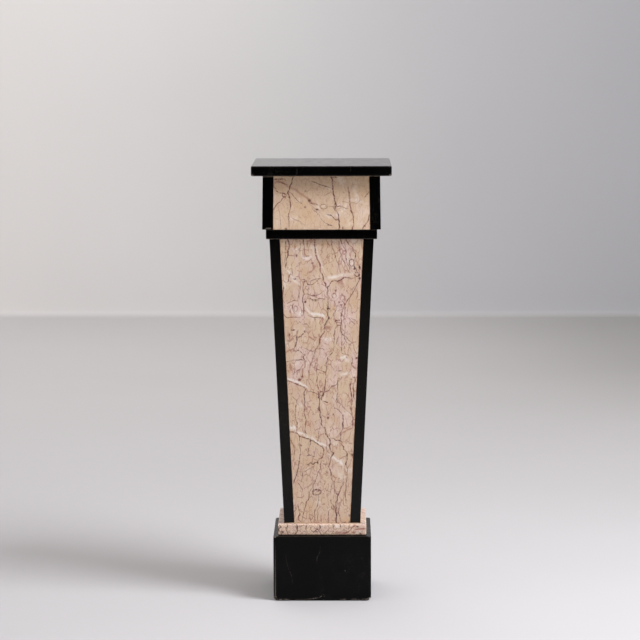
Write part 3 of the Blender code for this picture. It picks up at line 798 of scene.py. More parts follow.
# %% [markdown]
# A route's two curves share one input: the height for a vein that mostly climbs, the place across
# for one that mostly runs level. The distance from the vein is then one subtraction, and a bell
# turns it into a soft line. Stronger veins win where two cross, so masks meet in a maximum.
# Blender checks a whole node tree at every new link, so a few hundred shapes in one tree take
# minutes to build. A dozen in a node group take no time, and the panels share the groups.

# %% Turn routes, clouds and rings into masks
SHAPES_IN_A_GROUP = 12
VEIN_SPREAD = 1.15
PATCH_REACH = 1.3
RING_REACH = 0.32

# The three drawing functions take the same four values, so that a group can call any of them.


def vein(across, up, spot, route):
    """How much of a vein is at this point, 0 to 1."""
    half_width, *points = route
    rise = abs(points[-1][1] - points[0][1])
    climbs = rise > abs(points[-1][0] - points[0][0])
    along, aside = (up, across) if climbs else (across, up)
    knots = sorted((point[1], point[0], point[2]) if climbs else point for point in points)
    place = along.curve([(knot[0], knot[1]) for knot in knots])
    strength = along.curve([(knot[0], knot[2] / 10) for knot in ends_level(knots)])
    return (aside - place).bell(half_width * VEIN_SPREAD) * strength


def ends_level(knots, fade=3.0):
    """The same knots with the strength brought to nothing just beyond both ends."""
    first = (knots[0][0] - fade, knots[0][1], 0)
    last = (knots[-1][0] + fade, knots[-1][1], 0)
    return [first, *knots, last]


def from_middle(spot, shape):
    """Distance from a shape's middle, one at its rim."""
    middle_across, middle_up, half_width, half_height = shape[:4]
    offset = spot.node("ShaderNodeVectorMath", {"operation": "SUBTRACT"},
                       {0: spot, 1: (middle_across, middle_up, 0.0)})
    offset = offset.node("ShaderNodeVectorMath", {"operation": "MULTIPLY"},
                         {0: offset, 1: (1 / half_width, 1 / half_height, 0.0)})
    return offset.node("ShaderNodeVectorMath", {"operation": "LENGTH"}, {0: offset}, 1)


def patch(across, up, spot, shape):
    """A soft rounded patch that fades to its rim."""
    return from_middle(spot, shape).bell(PATCH_REACH) * (shape[4] / 10)


def ring(across, up, spot, shape):
    """A thin closed loop."""
    return (from_middle(spot, shape) - 1.0).bell(RING_REACH) * (shape[4] / 10)


def strongest(masks):
    """The largest of several masks at each point."""
    most = None
    for mask in masks:
        most = mask if most is None else most.larger(mask)
    return most


def drawing(name, draw, shapes):
    """A node group that takes a spot on a panel and gives the mask of some shapes."""
    tree = bpy.data.node_groups.new(name, "ShaderNodeTree")
    for label, kind in (("Across", "Float"), ("Up", "Float"), ("Spot", "Vector")):
        tree.interface.new_socket(label, in_out="INPUT", socket_type=f"NodeSocket{kind}")
    tree.interface.new_socket("Mask", in_out="OUTPUT", socket_type="NodeSocketFloat")
    inlet = tree.nodes.new("NodeGroupInput")
    across, up, spot = [Flow(tree, inlet.outputs[order]) for order in range(3)]
    mask = strongest(draw(across, up, spot, shape) for shape in shapes)
    outlet = tree.nodes.new("NodeGroupOutput")
    tree.links.new(mask.socket, outlet.inputs[0])
    return tree


def drawn(across, up, spot, name, draw, shapes):
    """All shapes of one kind. Each dozen is a group, made once and shared by every panel."""
    masks = []
    for start in range(0, len(shapes), SHAPES_IN_A_GROUP):
        label = f"{name}_{start}"
        tree = bpy.data.node_groups.get(label)
        if tree is None:
            tree = drawing(label, draw, shapes[start:start + SHAPES_IN_A_GROUP])
        masks.append(spot.node("ShaderNodeGroup", {"node_tree": tree}, {0: across, 1: up, 2: spot}))
    return strongest(masks)


print("masks ready")

# %% [markdown]
# The four panels of a box were sawn from one block, so they are laid like an opened book: the
# right one is the front one mirrored, the back one is turned over, the left one both. Only the
# shaking and the clouds differ, as they would a few centimetres deeper in the stone.

# %% Colours of the cream marble
CREAM_TAN = tint(201, 175, 153)
CREAM_BUFF = tint(205, 181, 156)
CREAM_PINK = tint(209, 185, 177)
CREAM_IVORY = tint(220, 204, 190)
CREAM_OCHRE = tint(193, 156, 118)
CALCITE = tint(229, 219, 213)
HAZE_PINK = tint(222, 200, 195)
PLUM_BROWN = tint(78, 44, 46)
PLUM_RED = tint(112, 54, 54)
SEAM_BROWN = tint(146, 104, 72)
LINE_BROWN = tint(150, 96, 88)
RUST_RED = tint(150, 88, 72)
HONEY = tint(202, 176, 148)

# How much of each colour a part of the pedestal shows. The capital's stone is plainer, more golden.
SHARES = {
    "shaft": {"honey": 0.0, "pink": 1.0, "crackle": 0.70, "calcite": 1.0, "rust": 0.70},
    "capital": {"honey": 0.30, "pink": 0.20, "crackle": 0.34, "calcite": 0.55, "rust": 0.65},
}

print("colours mixed for:", list(SHARES))

# %% Where a point lies on its panel
# For each side: the axis that runs across it, its direction, and whether the panel is turned over.
SIDES = {"front": (0, 1, False), "right": (1, -1, False), "back": (0, 1, True), "left": (1, 1, True)}
# Half the panel's width at its foot and at its top, in millimetres.
PANEL_ENDS = {"shaft": (64.1, 94.3), "capital": (109.1, 107.5)}
# The stain along a panel's edges starts this far inside them and is full at the second distance.
STAIN_INSIDE = (-1.9, -0.5)


def panel_map(place, side, foot_level, height):
    """Millimetres across and up a panel, mirrored or turned over as the side asks."""
    axis, mirror, turned_over = SIDES[side]
    parts = place.parts()
    across = parts[axis] * (mirror / MM)
    up = parts[2] * (1 / MM) - foot_level / MM
    if turned_over:
        up = height / MM - up
    return across, up


def seam(place, part, side, foot_level, height):
    """The thin line along both upright edges where brown mortar has soaked into the stone."""
    foot_end, top_end = PANEL_ENDS[part]
    parts = place.parts()
    climb = (parts[2] - foot_level) * ((top_end - foot_end) / height)
    inside = abs(parts[SIDES[side][0]]) * (1 / MM) - foot_end - climb
    return inside.ramp(*STAIN_INSIDE) * cloud(place, 70.0, 3.0).ramp(0.30, 0.62)


print("panel sides:", list(SIDES))

# %% Cream marble
# How far noise shifts the veins, and the softer clouds, in millimetres from end to end.
SHAKE = 9.0
LOOSE_SHAKE = 26.0


def cream_marble(name, part, side, foot_level, height, pattern, seed):
    """Tan marble with the routes of one panel pattern drawn on it."""
    shares = SHARES[part]
    material, shader, place = new_stone(name)
    across, up = panel_map(place, side, foot_level, height)
    flat = combine(across, up * 0.62, seed)

    shake_across, shake_up, shake_both = cloud(flat, 0.055, 4.0, 0.62, 1).parts()
    across = across + (shake_across - 0.5) * SHAKE
    up = up + (shake_up - 0.5) * SHAKE
    loose_across = across + (shake_both - 0.5) * LOOSE_SHAKE
    loose_up = up + (shake_across - 0.5) * LOOSE_SHAKE
    spot = combine(across, up, 0.0)
    loose_spot = combine(loose_across, loose_up, 0.0)

    def line(kind, draw):
        return drawn(across, up, spot, f"{part}_{kind}", draw, pattern[kind])

    def haze(kind):
        return drawn(loose_across, loose_up, loose_spot, f"{part}_{kind}", patch, pattern[kind])

    colour = paint(CREAM_TAN, CREAM_BUFF, cloud(flat, 0.022, 3.0).ramp(0.40, 0.62))
    pinkness = cloud(combine(across, up * 0.55, seed + 40.0), 0.030, 4.0, 0.6).ramp(0.44, 0.66)
    colour = paint(colour, CREAM_PINK, pinkness * up.ramp(100.0, 420.0, 0.30, 1.0) * shares["pink"])
    pale = cloud(combine(across, up * 0.5, seed + 80.0), 0.045, 4.0, 0.6).ramp(0.53, 0.72)
    colour = paint(colour, CREAM_IVORY, pale * 0.75)
    colour = paint(colour, HONEY, (1 - pale) * shares["honey"])
    colour = paint(colour, CREAM_OCHRE, haze("ochre") * 0.80)
    colour = paint(colour, HAZE_PINK, haze("pink") * up.ramp(60.0, 300.0, 0.5, 1.0) * shares["pink"])
    colour = paint(colour, CALCITE, haze("white") * shares["calcite"])

    crack = flat.node("ShaderNodeTexVoronoi", {"feature": "DISTANCE_TO_EDGE"},
                      {"Vector": combine(across, up * 0.45, seed), "Scale": 0.085})
    broken = cloud(flat, 0.05, 2.0).ramp(0.46, 0.62)
    colour = paint(colour, LINE_BROWN, crack.ramp(0.01, 0.07, shares["crackle"], 0.0) * broken)
    ridge = abs(cloud(combine(across, up * 0.4, seed + 15.0), 0.075, 3.0, 0.55) - 0.5)
    colour = paint(colour, LINE_BROWN, ridge.ramp(0.0, 0.026, shares["crackle"], 0.0) * (1 - broken))
    fleck = cloud(combine(across, up * 0.7, seed + 60.0), 0.24, 2.0).ramp(0.60, 0.74)
    colour = paint(colour, RUST_RED, fleck * 0.28)

    frayed = cloud(flat, 0.13, 3.0).ramp(0.34, 0.56, 0.50, 1.0)
    colour = paint(colour, CALCITE, line("calcite", vein) * frayed * shares["calcite"])
    colour = paint(colour, RUST_RED, line("rust", vein) * shares["rust"])
    dark = strongest([line("plum", vein), line("spots", patch), line("rings", ring)])
    dark = dark * cloud(flat, 0.26, 2.0).ramp(0.38, 0.57, 0.50, 1.30)
    vein_colour = paint(PLUM_BROWN, PLUM_RED, cloud(flat, 0.018, 2.0).ramp(0.42, 0.58))
    colour = paint(colour, vein_colour, dark * 1.15)

    colour = paint(colour, SEAM_BROWN, seam(place, part, side, foot_level, height) * 0.8)

    grain = cloud(flat, 0.65, 3.0, 0.6)
    colour = paint(colour, CREAM_IVORY, grain.ramp(0.52, 0.80) * 0.22)
    colour = paint(colour, LINE_BROWN, grain.ramp(0.48, 0.22) * 0.22)
    wire(shader, Base_Color=colour, Roughness=grain.ramp(0.2, 0.8, 0.26, 0.40) + dark * 0.08,
         IOR=1.45, Specular_IOR_Level=0.35, Normal=relief(grain, 0.10, 0.0004))
    return material


print("cream marble ready")

# %% Dress the panels
PANEL_SEED = 3.7

SHAFT_PATTERN = {"plum": SHAFT_PLUM, "rust": SHAFT_RUST, "calcite": SHAFT_CALCITE,
                 "white": SHAFT_WHITE_CLOUDS, "pink": SHAFT_PINK_CLOUDS,
                 "ochre": SHAFT_OCHRE_CLOUDS, "spots": SHAFT_SPOTS, "rings": SHAFT_RINGS}
CAPITAL_PATTERN = {"plum": CAPITAL_PLUM, "rust": CAPITAL_RUST, "calcite": CAPITAL_CALCITE,
                   "white": CAPITAL_WHITE_CLOUDS, "pink": CAPITAL_PINK_CLOUDS,
                   "ochre": CAPITAL_OCHRE_CLOUDS, "spots": CAPITAL_SPOTS, "rings": CAPITAL_RINGS}


def dress(node, material):
    """Give a solid from the frame its stone."""
    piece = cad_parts[node]
    for material_slot in piece.material_slots:
        material_slot.material = material


for part, pattern in (("shaft", SHAFT_PATTERN), ("capital", CAPITAL_PATTERN)):
    for order, side in enumerate(SIDES):
        node = f"{part}_panel_{side}"
        low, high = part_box(node)
        stone = cream_marble(f"{node}_marble", part, side, low[2], high[2] - low[2], pattern,
                             PANEL_SEED * order)
        dress(node, stone)
print("cream panels dressed:", 2 * len(SIDES))

# %% [markdown]
# ## Rose marble
# The course under the shaft is the same kind of stone from another bed, redder and cut across the
# veins. It shows on four sides and on top, so the pattern is worked out in depth and not on
# one face: a vein is a slanting sheet through the block, which meets each side where it must.

# %% Routes on the course
COURSE_MARKS = [
    (1.8, (-58, 25, 5), (-57, 16, 9), (-57, 10, 7), (-61, 4, 8), (-62, 0, 6)),
    (1.8, (-97, 24, 6), (-95, 20, 8), (-99, 14, 8), (-96, 8, 5), (-93, 2, 6)),
    (1.7, (-80, 24, 6), (-80, 19, 8), (-83, 14, 6), (-80, 8, 6), (-77, 1, 4)),
    (1.5, (-36, 24, 5), (-37, 15, 8), (-36, 10, 3), (-38, 2, 3)),
    (1.6, (-27, 14, 3), (-22, 9, 7), (-19, 7, 9), (-14, 12, 8), (-11, 14, 10), (-8, 11, 9),
     (-5, 5, 9), (-2, 1, 9)),
    (1.6, (-6, 25, 5), (-4, 18, 9), (-6, 13, 7), (-8, 10, 0)),
    (1.5, (14, 13, 4), (9, 8, 6), (5, 4, 7), (2, 0, 6)),
    (1.5, (27, 25, 6), (27, 20, 8), (25, 16, 0)),
    (1.5, (43, 25, 5), (42, 21, 8), (44, 17, 0)),
    (1.4, (-52, 18, 0), (-48, 21, 5), (-43, 24, 6)),
]
COURSE_RED = [
    (3.0, (28, 5, 4), (38, 6, 6), (48, 5, 7), (54, 6, 10), (60, 8, 9), (65, 13, 7), (70, 19, 9),
     (76, 23, 6)),
    (2.2, (58, 10, 0), (61, 15, 7), (62, 21, 8), (64, 25, 4)),
    (2.4, (66, 4, 0), (70, 6, 9), (75, 6, 8), (79, 8, 0)),
    (2.2, (70, 10, 3), (77, 13, 7), (86, 14, 8), (94, 15, 9), (101, 15, 4)),
    (2.2, (-22, 16, 0), (-17, 15, 5), (-12, 20, 4), (-9, 25, 5)),
]
COURSE_SPOTS = [(-91, 8, 3.4, 2.8, 9), (88, 3, 4, 2.6, 8), (80, 20, 4, 2, 8), (-12, 8, 3, 2, 7)]
COURSE_PALE = [(34, 21, 7, 4, 9), (64, 14, 4, 2.4, 7), (84, 8, 6, 3, 5), (2, 22, 5, 4, 5)]
print("routes on the course:", len(COURSE_MARKS) + len(COURSE_RED))

# %% Rose marble
ROSE_GROUND = tint(213, 188, 166)
ROSE_PINK = tint(206, 179, 164)
ROSE_BROWN = tint(78, 36, 30)
ROSE_RED = tint(140, 76, 66)
# Pale colour of the arrises: wear and a painted highlight.
ROSE_WORN_AND_HIGHLIGHT = tint(246, 232, 222)
# How far a vein moves sideways for each step back through the block.
SHEET_SLANT = 0.55
# How far noise shifts the course's veins, in millimetres from end to end.
COURSE_SHAKE_ACROSS = 6.0
COURSE_SHAKE_UP = 5.0


def rose_marble(name, half, foot_level):
    """Pinkish marble whose veins are slanting sheets through the block."""
    material, shader, place = new_stone(name)
    x, y, z = place.parts()
    across = (x + (y + half) * SHEET_SLANT) * (1 / MM)
    up = z * (1 / MM) - foot_level / MM
    deep = combine(x * (1 / MM), y * (1 / MM), z * (1 / MM))
    shake_across, shake_up, _ = cloud(deep, 0.09, 4.0, 0.6, 1).parts()
    across = across + (shake_across - 0.5) * COURSE_SHAKE_ACROSS
    up = up + (shake_up - 0.5) * COURSE_SHAKE_UP
    spot = combine(across, up, 0.0)
    colour = paint(ROSE_GROUND, ROSE_PINK, cloud(deep, 0.05, 3.0).ramp(0.40, 0.60))
    colour = paint(colour, CREAM_IVORY, cloud(deep, 0.11, 4.0, 0.6).ramp(0.52, 0.72) * 0.6)
    ridge = abs(cloud(spot, 0.12, 3.0, 0.55) - 0.5)
    colour = paint(colour, ROSE_BROWN, ridge.ramp(0.0, 0.032, 0.72, 0.0))
    colour = paint(colour, CALCITE, drawn(across, up, spot, "course_pale", patch, COURSE_PALE) * 0.9)
    colour = paint(colour, ROSE_RED, drawn(across, up, spot, "course_red", vein, COURSE_RED))
    dark = strongest([drawn(across, up, spot, "course_marks", vein, COURSE_MARKS),
                      drawn(across, up, spot, "course_spots", patch, COURSE_SPOTS)])
    colour = paint(colour, ROSE_BROWN, dark * 1.25)
    grain = cloud(deep, 0.65, 3.0, 0.6)
    colour = paint(colour, ROSE_BROWN, grain.ramp(0.46, 0.22) * 0.25)
    # Along the arrises the pale colour is wear and a painted highlight.
    worn = how_worn_and_highlit(place)
    colour = paint(colour, ROSE_WORN_AND_HIGHLIGHT, worn * grain.ramp(0.1, 0.5) * 2.0)
    wire(shader, Base_Color=colour, Roughness=grain.ramp(0.2, 0.8, 0.30, 0.45) + worn * 0.2,
         IOR=1.45, Specular_IOR_Level=0.4, Normal=relief(grain, 0.12, 0.0004))
    return material


print("rose marble ready")

# %% [markdown]
# ## Worn blocks
# Sawn and polished slabs start with crisp edges, and years of moving, mopping and knocking wear
# them: the arris goes round and wavy, and here and there a flake is gone. Each block is lofted
# from rings of points, from under its foot to its top. Close to an arris every point is cut back to a
# slanting plane whose depth wanders with noise, and goes deep where a chip is listed.

# %% Loft a worn block
SIDE_STEP = 1.6 * MM
CORNER_POINTS = 10
RIM_STEPS = 6
# Rings near an arris, in millimetres from where its rounding ends.
ROWS_FROM_RIM = (0.8, 1.8, 3.0, 4.5, 6.5, 10.0)
# Sizes of the bumps in the wear, in the broken face of a chip and in the grain, in metres.
LONG_WAVE = 0.030
SHORT_WAVE = 0.007
RAGGED_WAVE = 0.0035
GRAIN_WAVE = 0.0022
# An arris looks rubbed up to this distance from its edge, partly wear and partly a painted highlight, and
# fully worn where it is cut this deep.
RUBBED_AND_HIGHLIGHT_REACH = 2.2 * MM
RUBBED_AND_HIGHLIGHT_SHARE = 0.45
FULLY_WORN_DEPTH = 0.9 * MM
SMALLEST_CORNER = 0.2 * MM


def block_profile(height, foot_radius, top_radius):
    """Inset and height of each ring, from under the foot, up the side and on to the top."""
    quarter = [math.pi / 2 * step / RIM_STEPS for step in range(RIM_STEPS + 1)]
    reach = min(ROWS_FROM_RIM[-1] * MM, height / 2 - max(foot_radius, top_radius))
    rows = [row * MM for row in ROWS_FROM_RIM if row * MM < reach]
    foot = [(foot_radius + row, 0.0) for row in rows[::-1]]
    foot += [(foot_radius * (1 - math.sin(turn)), foot_radius * (1 - math.cos(turn)))
             for turn in quarter]
    foot += [(0.0, foot_radius + row) for row in rows]
    top = [(0.0, height - top_radius - row) for row in rows[::-1]]
    top += [(top_radius * (1 - math.cos(turn)), height - top_radius * (1 - math.sin(turn)))
            for turn in quarter]
    top += [(top_radius + row, height) for row in rows]
    return foot + top


def wander(x, y, z, size):
    """Smooth noise between 0 and 1 with bumps of about the given size."""
    return 0.5 + 0.5 * noise.noise(Vector((x, y, z)) / size)


def cut_depth(x, y, rim, wear, chips, seed):
    """How far the arris is cut back here: a wavy wear, and the chips within reach."""
    depth = wear * MM * max(0.0, wander(x, y, seed, LONG_WAVE) - 0.35) * 2
    depth += wear * MM * 0.7 * wander(x, y, seed + 5.0, SHORT_WAVE)
    for chip_x, chip_y, chip_rim, length, chip_depth in chips:
        away = math.hypot(x / MM - chip_x, y / MM - chip_y) / length
        if chip_rim == rim and away < 1.0:
            ragged = 0.55 + 0.9 * wander(x, y, seed + 9.0, RAGGED_WAVE)
            depth = max(depth, chip_depth * MM * (1 - away * away) * ragged)
    return depth


def worn_block(name, width, low, high, corner, radii, wear, chips, seed):
    """A square block whose arrises are worn and chipped; each point keeps how worn it is, with a painted
    highlight near each arris.
    """
    half = width / 2
    height = high - low
    side_points = int((width - 2 * corner) / SIDE_STEP)
    outline = square_ring(half, corner, side_points, CORNER_POINTS)
    depths = [(cut_depth(x, y, "foot", wear, chips, seed),
               cut_depth(x, y, "top", wear, chips, seed + 3)) for x, y in outline]
    rings = []
    worn = []
    for inset, level in block_profile(height, *radii):
        ring = square_ring(half - inset, max(corner - inset, SMALLEST_CORNER), side_points, CORNER_POINTS)
        placed = []
        for (x, y), (foot_depth, top_depth) in zip(ring, depths):
            from_foot = inset + level
            from_top = inset + height - level
            foot_cut = max(0.0, foot_depth - from_foot)
            top_cut = max(0.0, top_depth - from_top)
            rough = 0.85 + 0.3 * wander(x, y, level + seed, GRAIN_WAVE)
            shift = (foot_cut + top_cut) / 2 * rough
            scale = 1 - shift / max(abs(x), abs(y))
            placed.append((x * scale, y * scale, low + level + foot_cut / 2 - top_cut / 2))
            # A pale band near every arris: partly wear, partly a painted highlight.
            rubbed_and_highlight = max(0.0, 1 - min(from_foot, from_top) / RUBBED_AND_HIGHLIGHT_REACH) * RUBBED_AND_HIGHLIGHT_SHARE
            worn.append(min(1.0, rubbed_and_highlight + max(foot_cut, top_cut) / FULLY_WORN_DEPTH))
        rings.append(placed)
    mesh = skin(name, rings)
    mesh.attributes.new("worn", "FLOAT", "POINT").data.foreach_set("value", worn)
    return mesh


print("rings in a block 150 mm high:", len(block_profile(150 * MM, 4.5 * MM, 3.0 * MM)))

# %% [markdown]
# The plinth and the top slab carry scratches and pale hairlines of their own; the pale lines low along
# the plinth's foot are chips and a painted reflection of the floor in its worn foot arris. They are drawn
# as routes, like the veins, and only on the front face.

# %% Marks on the front of the plinth and the slab
# Millimetres across from the middle and up from the foot, like the routes of the veins.
PLINTH_MARKS = [
    # The lines a few millimetres up along the foot are chips and a painted reflection of the floor in the
    # worn foot arris.
    (1.5, (-101, 3.4, 0), (-98, 3.4, 9), (-88, 3.6, 6), (-76, 3.4, 9), (-71, 3.6, 0)),
    (1.2, (-60, 3.0, 3), (-40, 3.6, 4), (-24, 4.5, 4)),
    (1.5, (-22, 5, 6), (-12, 7, 5), (-5, 9, 6), (-1, 12, 9), (2.5, 14.5, 9), (4, 11, 5)),
    (1.4, (40, 3.6, 0), (42, 3.6, 8), (54, 3.6, 7), (56, 3.6, 0)),
    (1.4, (66, 3.6, 4), (74, 4, 6), (88, 3.6, 5), (103, 4.2, 9)),
    (0.9, (-4, 133, 0), (-5, 122, 0.8), (-6, 112, 1.4), (-12, 100, 2.2), (-12.3, 92, 1.6), (-12, 84, 0)),
    (0.9, (-83, 112, 0), (-82.5, 100, 0.8), (-80.7, 88.5, 1.2), (-77, 74.5, 2), (-70.4, 58, 1),
     (-68, 40, 0.4)),
    (1.2, (52, 73.5, 0), (52.4, 71, 9), (53, 68.5, 0)),
]
SLAB_MARKS = [
    (1.0, (-54.5, 20, 0), (-54, 12, 1.2), (-54.3, 6, 0.8), (-54, 2, 0)),
    (1.0, (65.4, 22, 0), (65.4, 17, 1.2), (65.8, 12, 0.6), (66, 9, 0)),
]
MARK_GREY = tint(140, 130, 120)
# The marks stop between these two places behind the front faces, in metres along y.
MARKS_STOP = (-0.106, -0.104)


def add_marks(material, marks, foot_level):
    """Draw pale marks on a black marble's front face: scratches, and along the plinth's foot chips with a
    painted reflection.
    """
    tree = material.node_tree
    socket = tree.nodes["Principled BSDF"].inputs["Base Color"]
    colour = Flow(tree, socket.links[0].from_socket)
    place = Flow(tree, tree.nodes["Texture Coordinate"].outputs["Object"])
    x, y, z = place.parts()
    across = x * (1 / MM)
    up = z * (1 / MM) - foot_level / MM
    mask = strongest(vein(across, up, place, route) for route in marks)
    broken = cloud(place, 300.0, 2.0).ramp(0.35, 0.60)
    front = y.ramp(*MARKS_STOP, 1.0, 0.0)
    marked = paint(colour, MARK_GREY, mask * broken * front)
    tree.links.new(marked.socket, socket)


print("marks:", len(PLINTH_MARKS) + len(SLAB_MARKS))

# %% [markdown]
# Chips are listed with their place across and back from the middle, the rim they are on, how far
# they reach and how deep they go, all in millimetres. The plinth has lost the most, all along its
# foot, where mops and shoes reach it.

# %% Make the four blocks
BLOCK_SEED = 1.3
BLACK_SEED = 0.37

BLOCKS = {
    "plinth": {
        "corner": 6.0, "radii": (4.5, 3.0), "wear": 1.5, "slot": "black_marble",
        "marks": PLINTH_MARKS, "ior": 1.205, "dull": 0.20,
        "chips": [(-112, -112, "foot", 13, 11.0), (112, -112, "foot", 12, 10.0),
                  (-112, -94, "foot", 22, 9.0), (112, -94, "foot", 21, 8.5),
                  (-96, -112, "foot", 14, 3.4), (-56, -112, "foot", 8, 2.6), (-38, -112, "foot", 6, 2.4),
                  (45, -112, "foot", 8, 2.6), (84, -112, "foot", 13, 3.0), (102, -112, "foot", 8, 3.6),
                  (-109, -110, "top", 7, 3.4), (30, -112, "top", 5, 1.6), (-60, -112, "top", 4, 1.6),
                  (112, 20, "foot", 12, 3.6), (112, 88, "top", 6, 2.2), (-20, 112, "foot", 14, 3.4),
                  (70, 112, "top", 7, 2.4), (-112, -30, "foot", 10, 3.4), (-112, 64, "top", 6, 2.4)]},
    "base_course": {
        "corner": 4.0, "radii": (3.0, 3.0), "wear": 0.9, "slot": "rose_marble",
        "chips": [(-101, -98, "top", 6, 3.2), (101, -60, "top", 7, 2.6), (99, 99, "top", 7, 3.4),
                  (-101, 40, "top", 8, 2.6), (-34, -101, "foot", 6, 2.0), (60, -101, "foot", 9, 2.2)]},
    "necking_slab": {
        "corner": 1.2, "radii": (1.0, 1.0), "wear": 0.7, "slot": "black_marble",
        "ior": BLACK_IOR, "dull": 0.0,
        "chips": [(-125, -125, "foot", 4, 1.8), (125, 60, "foot", 5, 1.8), (30, 125, "top", 5, 1.6)]},
    "top_slab": {
        "corner": 6.0, "radii": (3.0, 3.0), "wear": 1.2, "slot": "black_marble",
        "marks": SLAB_MARKS, "ior": BLACK_IOR, "dull": 0.0,
        "chips": [(-157, -157, "foot", 8, 4.5), (157, -157, "foot", 8, 4.5), (-157, -157, "top", 6, 2.4),
                  (-157, -60, "top", 6, 2.4), (157, -120, "foot", 6, 2.2), (157, 70, "top", 8, 2.6),
                  (60, 157, "top", 6, 2.4), (-90, 157, "foot", 8, 2.6), (150, 154, "top", 7, 3.0)]},
}

for order, (node, block) in enumerate(BLOCKS.items()):
    low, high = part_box(node)
    width = high[0] - low[0]
    if block["slot"] == "rose_marble":
        stone = rose_marble(f"{node}_marble", width / 2, low[2])
    else:
        stone = black_marble(f"{node}_marble", BLACK_SEED * order, block["ior"], block["dull"])
        if "marks" in block:
            add_marks(stone, block["marks"], low[2])
    mesh = worn_block(f"{node}_worn", width, low[2], high[2], block["corner"] * MM,
                      [radius * MM for radius in block["radii"]], block["wear"],
                      block["chips"], BLOCK_SEED * order)
    piece = put(f"{node}_worn", mesh, stone)
    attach(piece, "root")
    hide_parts(node)
    print(piece.name, "faces:", len(mesh.polygons))

# %% [markdown]
# The eight posts keep their solids. Those of the shaft take a slightly stronger polish.

# %% Black posts
POST_SEED = 0.21
FIRST_POST_SEED = 0.6
CORNERS = ("front_left", "front_right", "back_right", "back_left")
POST_IOR = {"shaft": 1.255, "capital": BLACK_IOR}
for part in ("shaft", "capital"):
    for order, corner in enumerate(CORNERS):
        node = f"{part}_post_{corner}"
        seed = POST_SEED * order + FIRST_POST_SEED
        dress(node, black_marble(f"{node}_marble", seed, POST_IOR[part]))
print("posts dressed:", 2 * len(CORNERS))

# %% [markdown]
# ## Mortar
# The pieces are bedded in mortar that has gone brown, and a little of it squeezed out and set in the
# inner corners. Each bead is a thin ring of uneven thickness. One post of the capital was cut
# short, and its gap under the slab is packed with grey mortar.

# %% Mortar
MORTAR_BROWN = tint(140, 112, 90)
MORTAR_PALE = tint(172, 148, 126)
MORTAR_GREY = tint(72, 68, 64)
MORTAR_GREY_BROWN = tint(88, 80, 72)


def mortar(name, colour_a, colour_b):
    """Rough, sandy, unpolished."""
    material, shader, place = new_stone(name)
    sand = cloud(place, 900.0, 3.0, 0.7)
    colour = paint(colour_a, colour_b, cloud(place, 60.0, 4.0, 0.6).ramp(0.35, 0.68))
    colour = paint(colour, BLACK_CLOUDY, sand.ramp(0.42, 0.22) * 0.5)
    wire(shader, Base_Color=colour, Roughness=0.92, Specular_IOR_Level=0.2,
         Normal=relief(sand, 0.5, 0.0006))
    return material


print("mortar ready")

# %% Beads and lumps
BEAD_SIDE_POINTS = 150
BEAD_CORNER = 0.6 * MM
# Shares of a bead's run and rise, from behind the face, out along the level and up to the top.
BEAD_PROFILE = ((-0.3, 0.0), (1.0, 0.0), (0.62, 0.40), (0.22, 0.75), (0.0, 1.0), (-0.3, 1.0))
# Level and width of each ring of a lump, as shares of its height and its plan.
LUMP_PROFILE = ((-0.5, 0.72), (-0.3, 1.0), (0.3, 1.0), (0.5, 0.72))


def mortar_bead(name, half, level, run, rise, seed):
    """A fillet in the corner of an upright face and a level one; a negative rise hangs down."""
    rings = []
    for share_out, share_up in BEAD_PROFILE:
        placed = []
        for x, y in square_ring(half, BEAD_CORNER, BEAD_SIDE_POINTS, 3):
            swell = 0.35 + 1.1 * wander(x, y, seed, 0.012) * wander(x, y, seed + 7.0, 0.05) * 1.6
            scale = 1 + share_out * run * swell / max(abs(x), abs(y))
            placed.append((x * scale, y * scale, level + share_up * rise * swell))
        rings.append(placed)
    if rise < 0:
        rings.reverse()
    return skin(name, rings[::-1], joined=True)


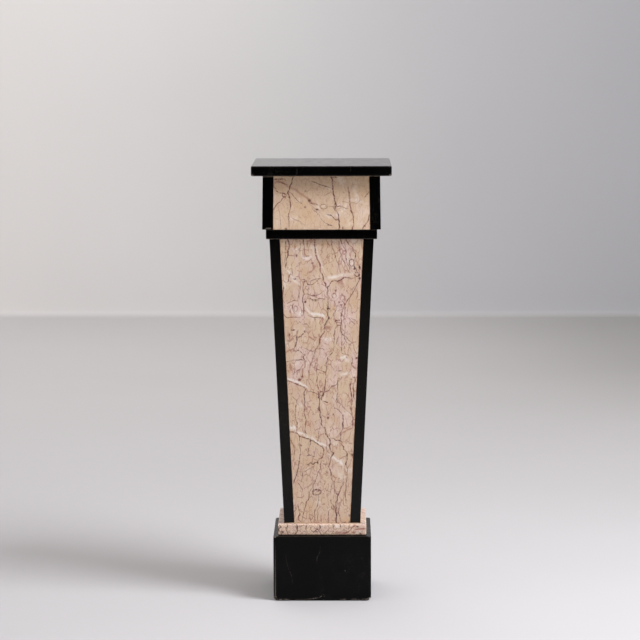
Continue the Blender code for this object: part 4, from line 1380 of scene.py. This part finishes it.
def mortar_lump(name, middle, size, seed):
    """A packed or smeared bit of mortar, a rounded brick with an uneven outline."""
    rings = []
    for level, share in LUMP_PROFILE:
        placed = []
        for x, y in square_ring(0.5, 0.16, 8, 3):
            swell = share * (0.85 + 0.3 * wander(x, y, seed + level, 0.3))
            placed.append((middle[0] + x * size[0] * swell, middle[1] + y * size[1] * swell,
                           middle[2] + level * size[2]))
        rings.append(placed)
    return skin(name, rings)


print("a bead has", len(BEAD_PROFILE), "rings, a lump", len(LUMP_PROFILE))

# %% Lay the mortar
# Half the widths at which the beads run round the shaft and the capital.
SHAFT_FOOT_HALF = 87.4 * MM
SHAFT_TOP_HALF = 117.6 * MM
CAPITAL_TOP_HALF = 131.8 * MM
BEADS = {
    "mortar_under_slab": (CAPITAL_TOP_HALF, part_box("top_slab")[0][2], 1.8 * MM, -2.8 * MM, 1.0),
    "mortar_at_shaft_foot": (SHAFT_FOOT_HALF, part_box("base_course")[1][2], 1.4 * MM, 1.5 * MM, 2.0),
    "mortar_under_necking": (SHAFT_TOP_HALF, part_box("necking_slab")[0][2], 0.5 * MM, -0.6 * MM, 3.0),
}
brown_mortar = mortar("brown_mortar", MORTAR_BROWN, MORTAR_PALE)
grey_mortar = mortar("grey_mortar", MORTAR_GREY, MORTAR_GREY_BROWN)
post_low, post_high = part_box("capital_post_front_left")
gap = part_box("top_slab")[0][2] - post_high[2]
PACKING_SET_BACK = 0.6 * MM
PACKING_WIDTH = 23.0 * MM
packing_middle = ((post_low[0] + post_high[0]) / 2 + PACKING_SET_BACK,
                  (post_low[1] + post_high[1]) / 2 + PACKING_SET_BACK, post_high[2] + gap / 2)
LUMPS = {
    "mortar_over_short_post": (packing_middle, (PACKING_WIDTH, PACKING_WIDTH, gap), 1.0),
    "mortar_smear_left": ((-119.5 * MM, -133.6 * MM, 858.6 * MM), (13 * MM, 1.6 * MM, 3.0 * MM), 2.0),
}
for shapes, make, stone in ((LUMPS, mortar_lump, grey_mortar), (BEADS, mortar_bead, brown_mortar)):
    for name, sizes in shapes.items():
        piece = put(name, make(name, *sizes), stone)
        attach(piece, "root")
print("mortar beads:", len(BEADS), "lumps:", len(LUMPS))

# %% [markdown]
# ## Sizes
# The dressed pedestal has to be as large as the solids are.
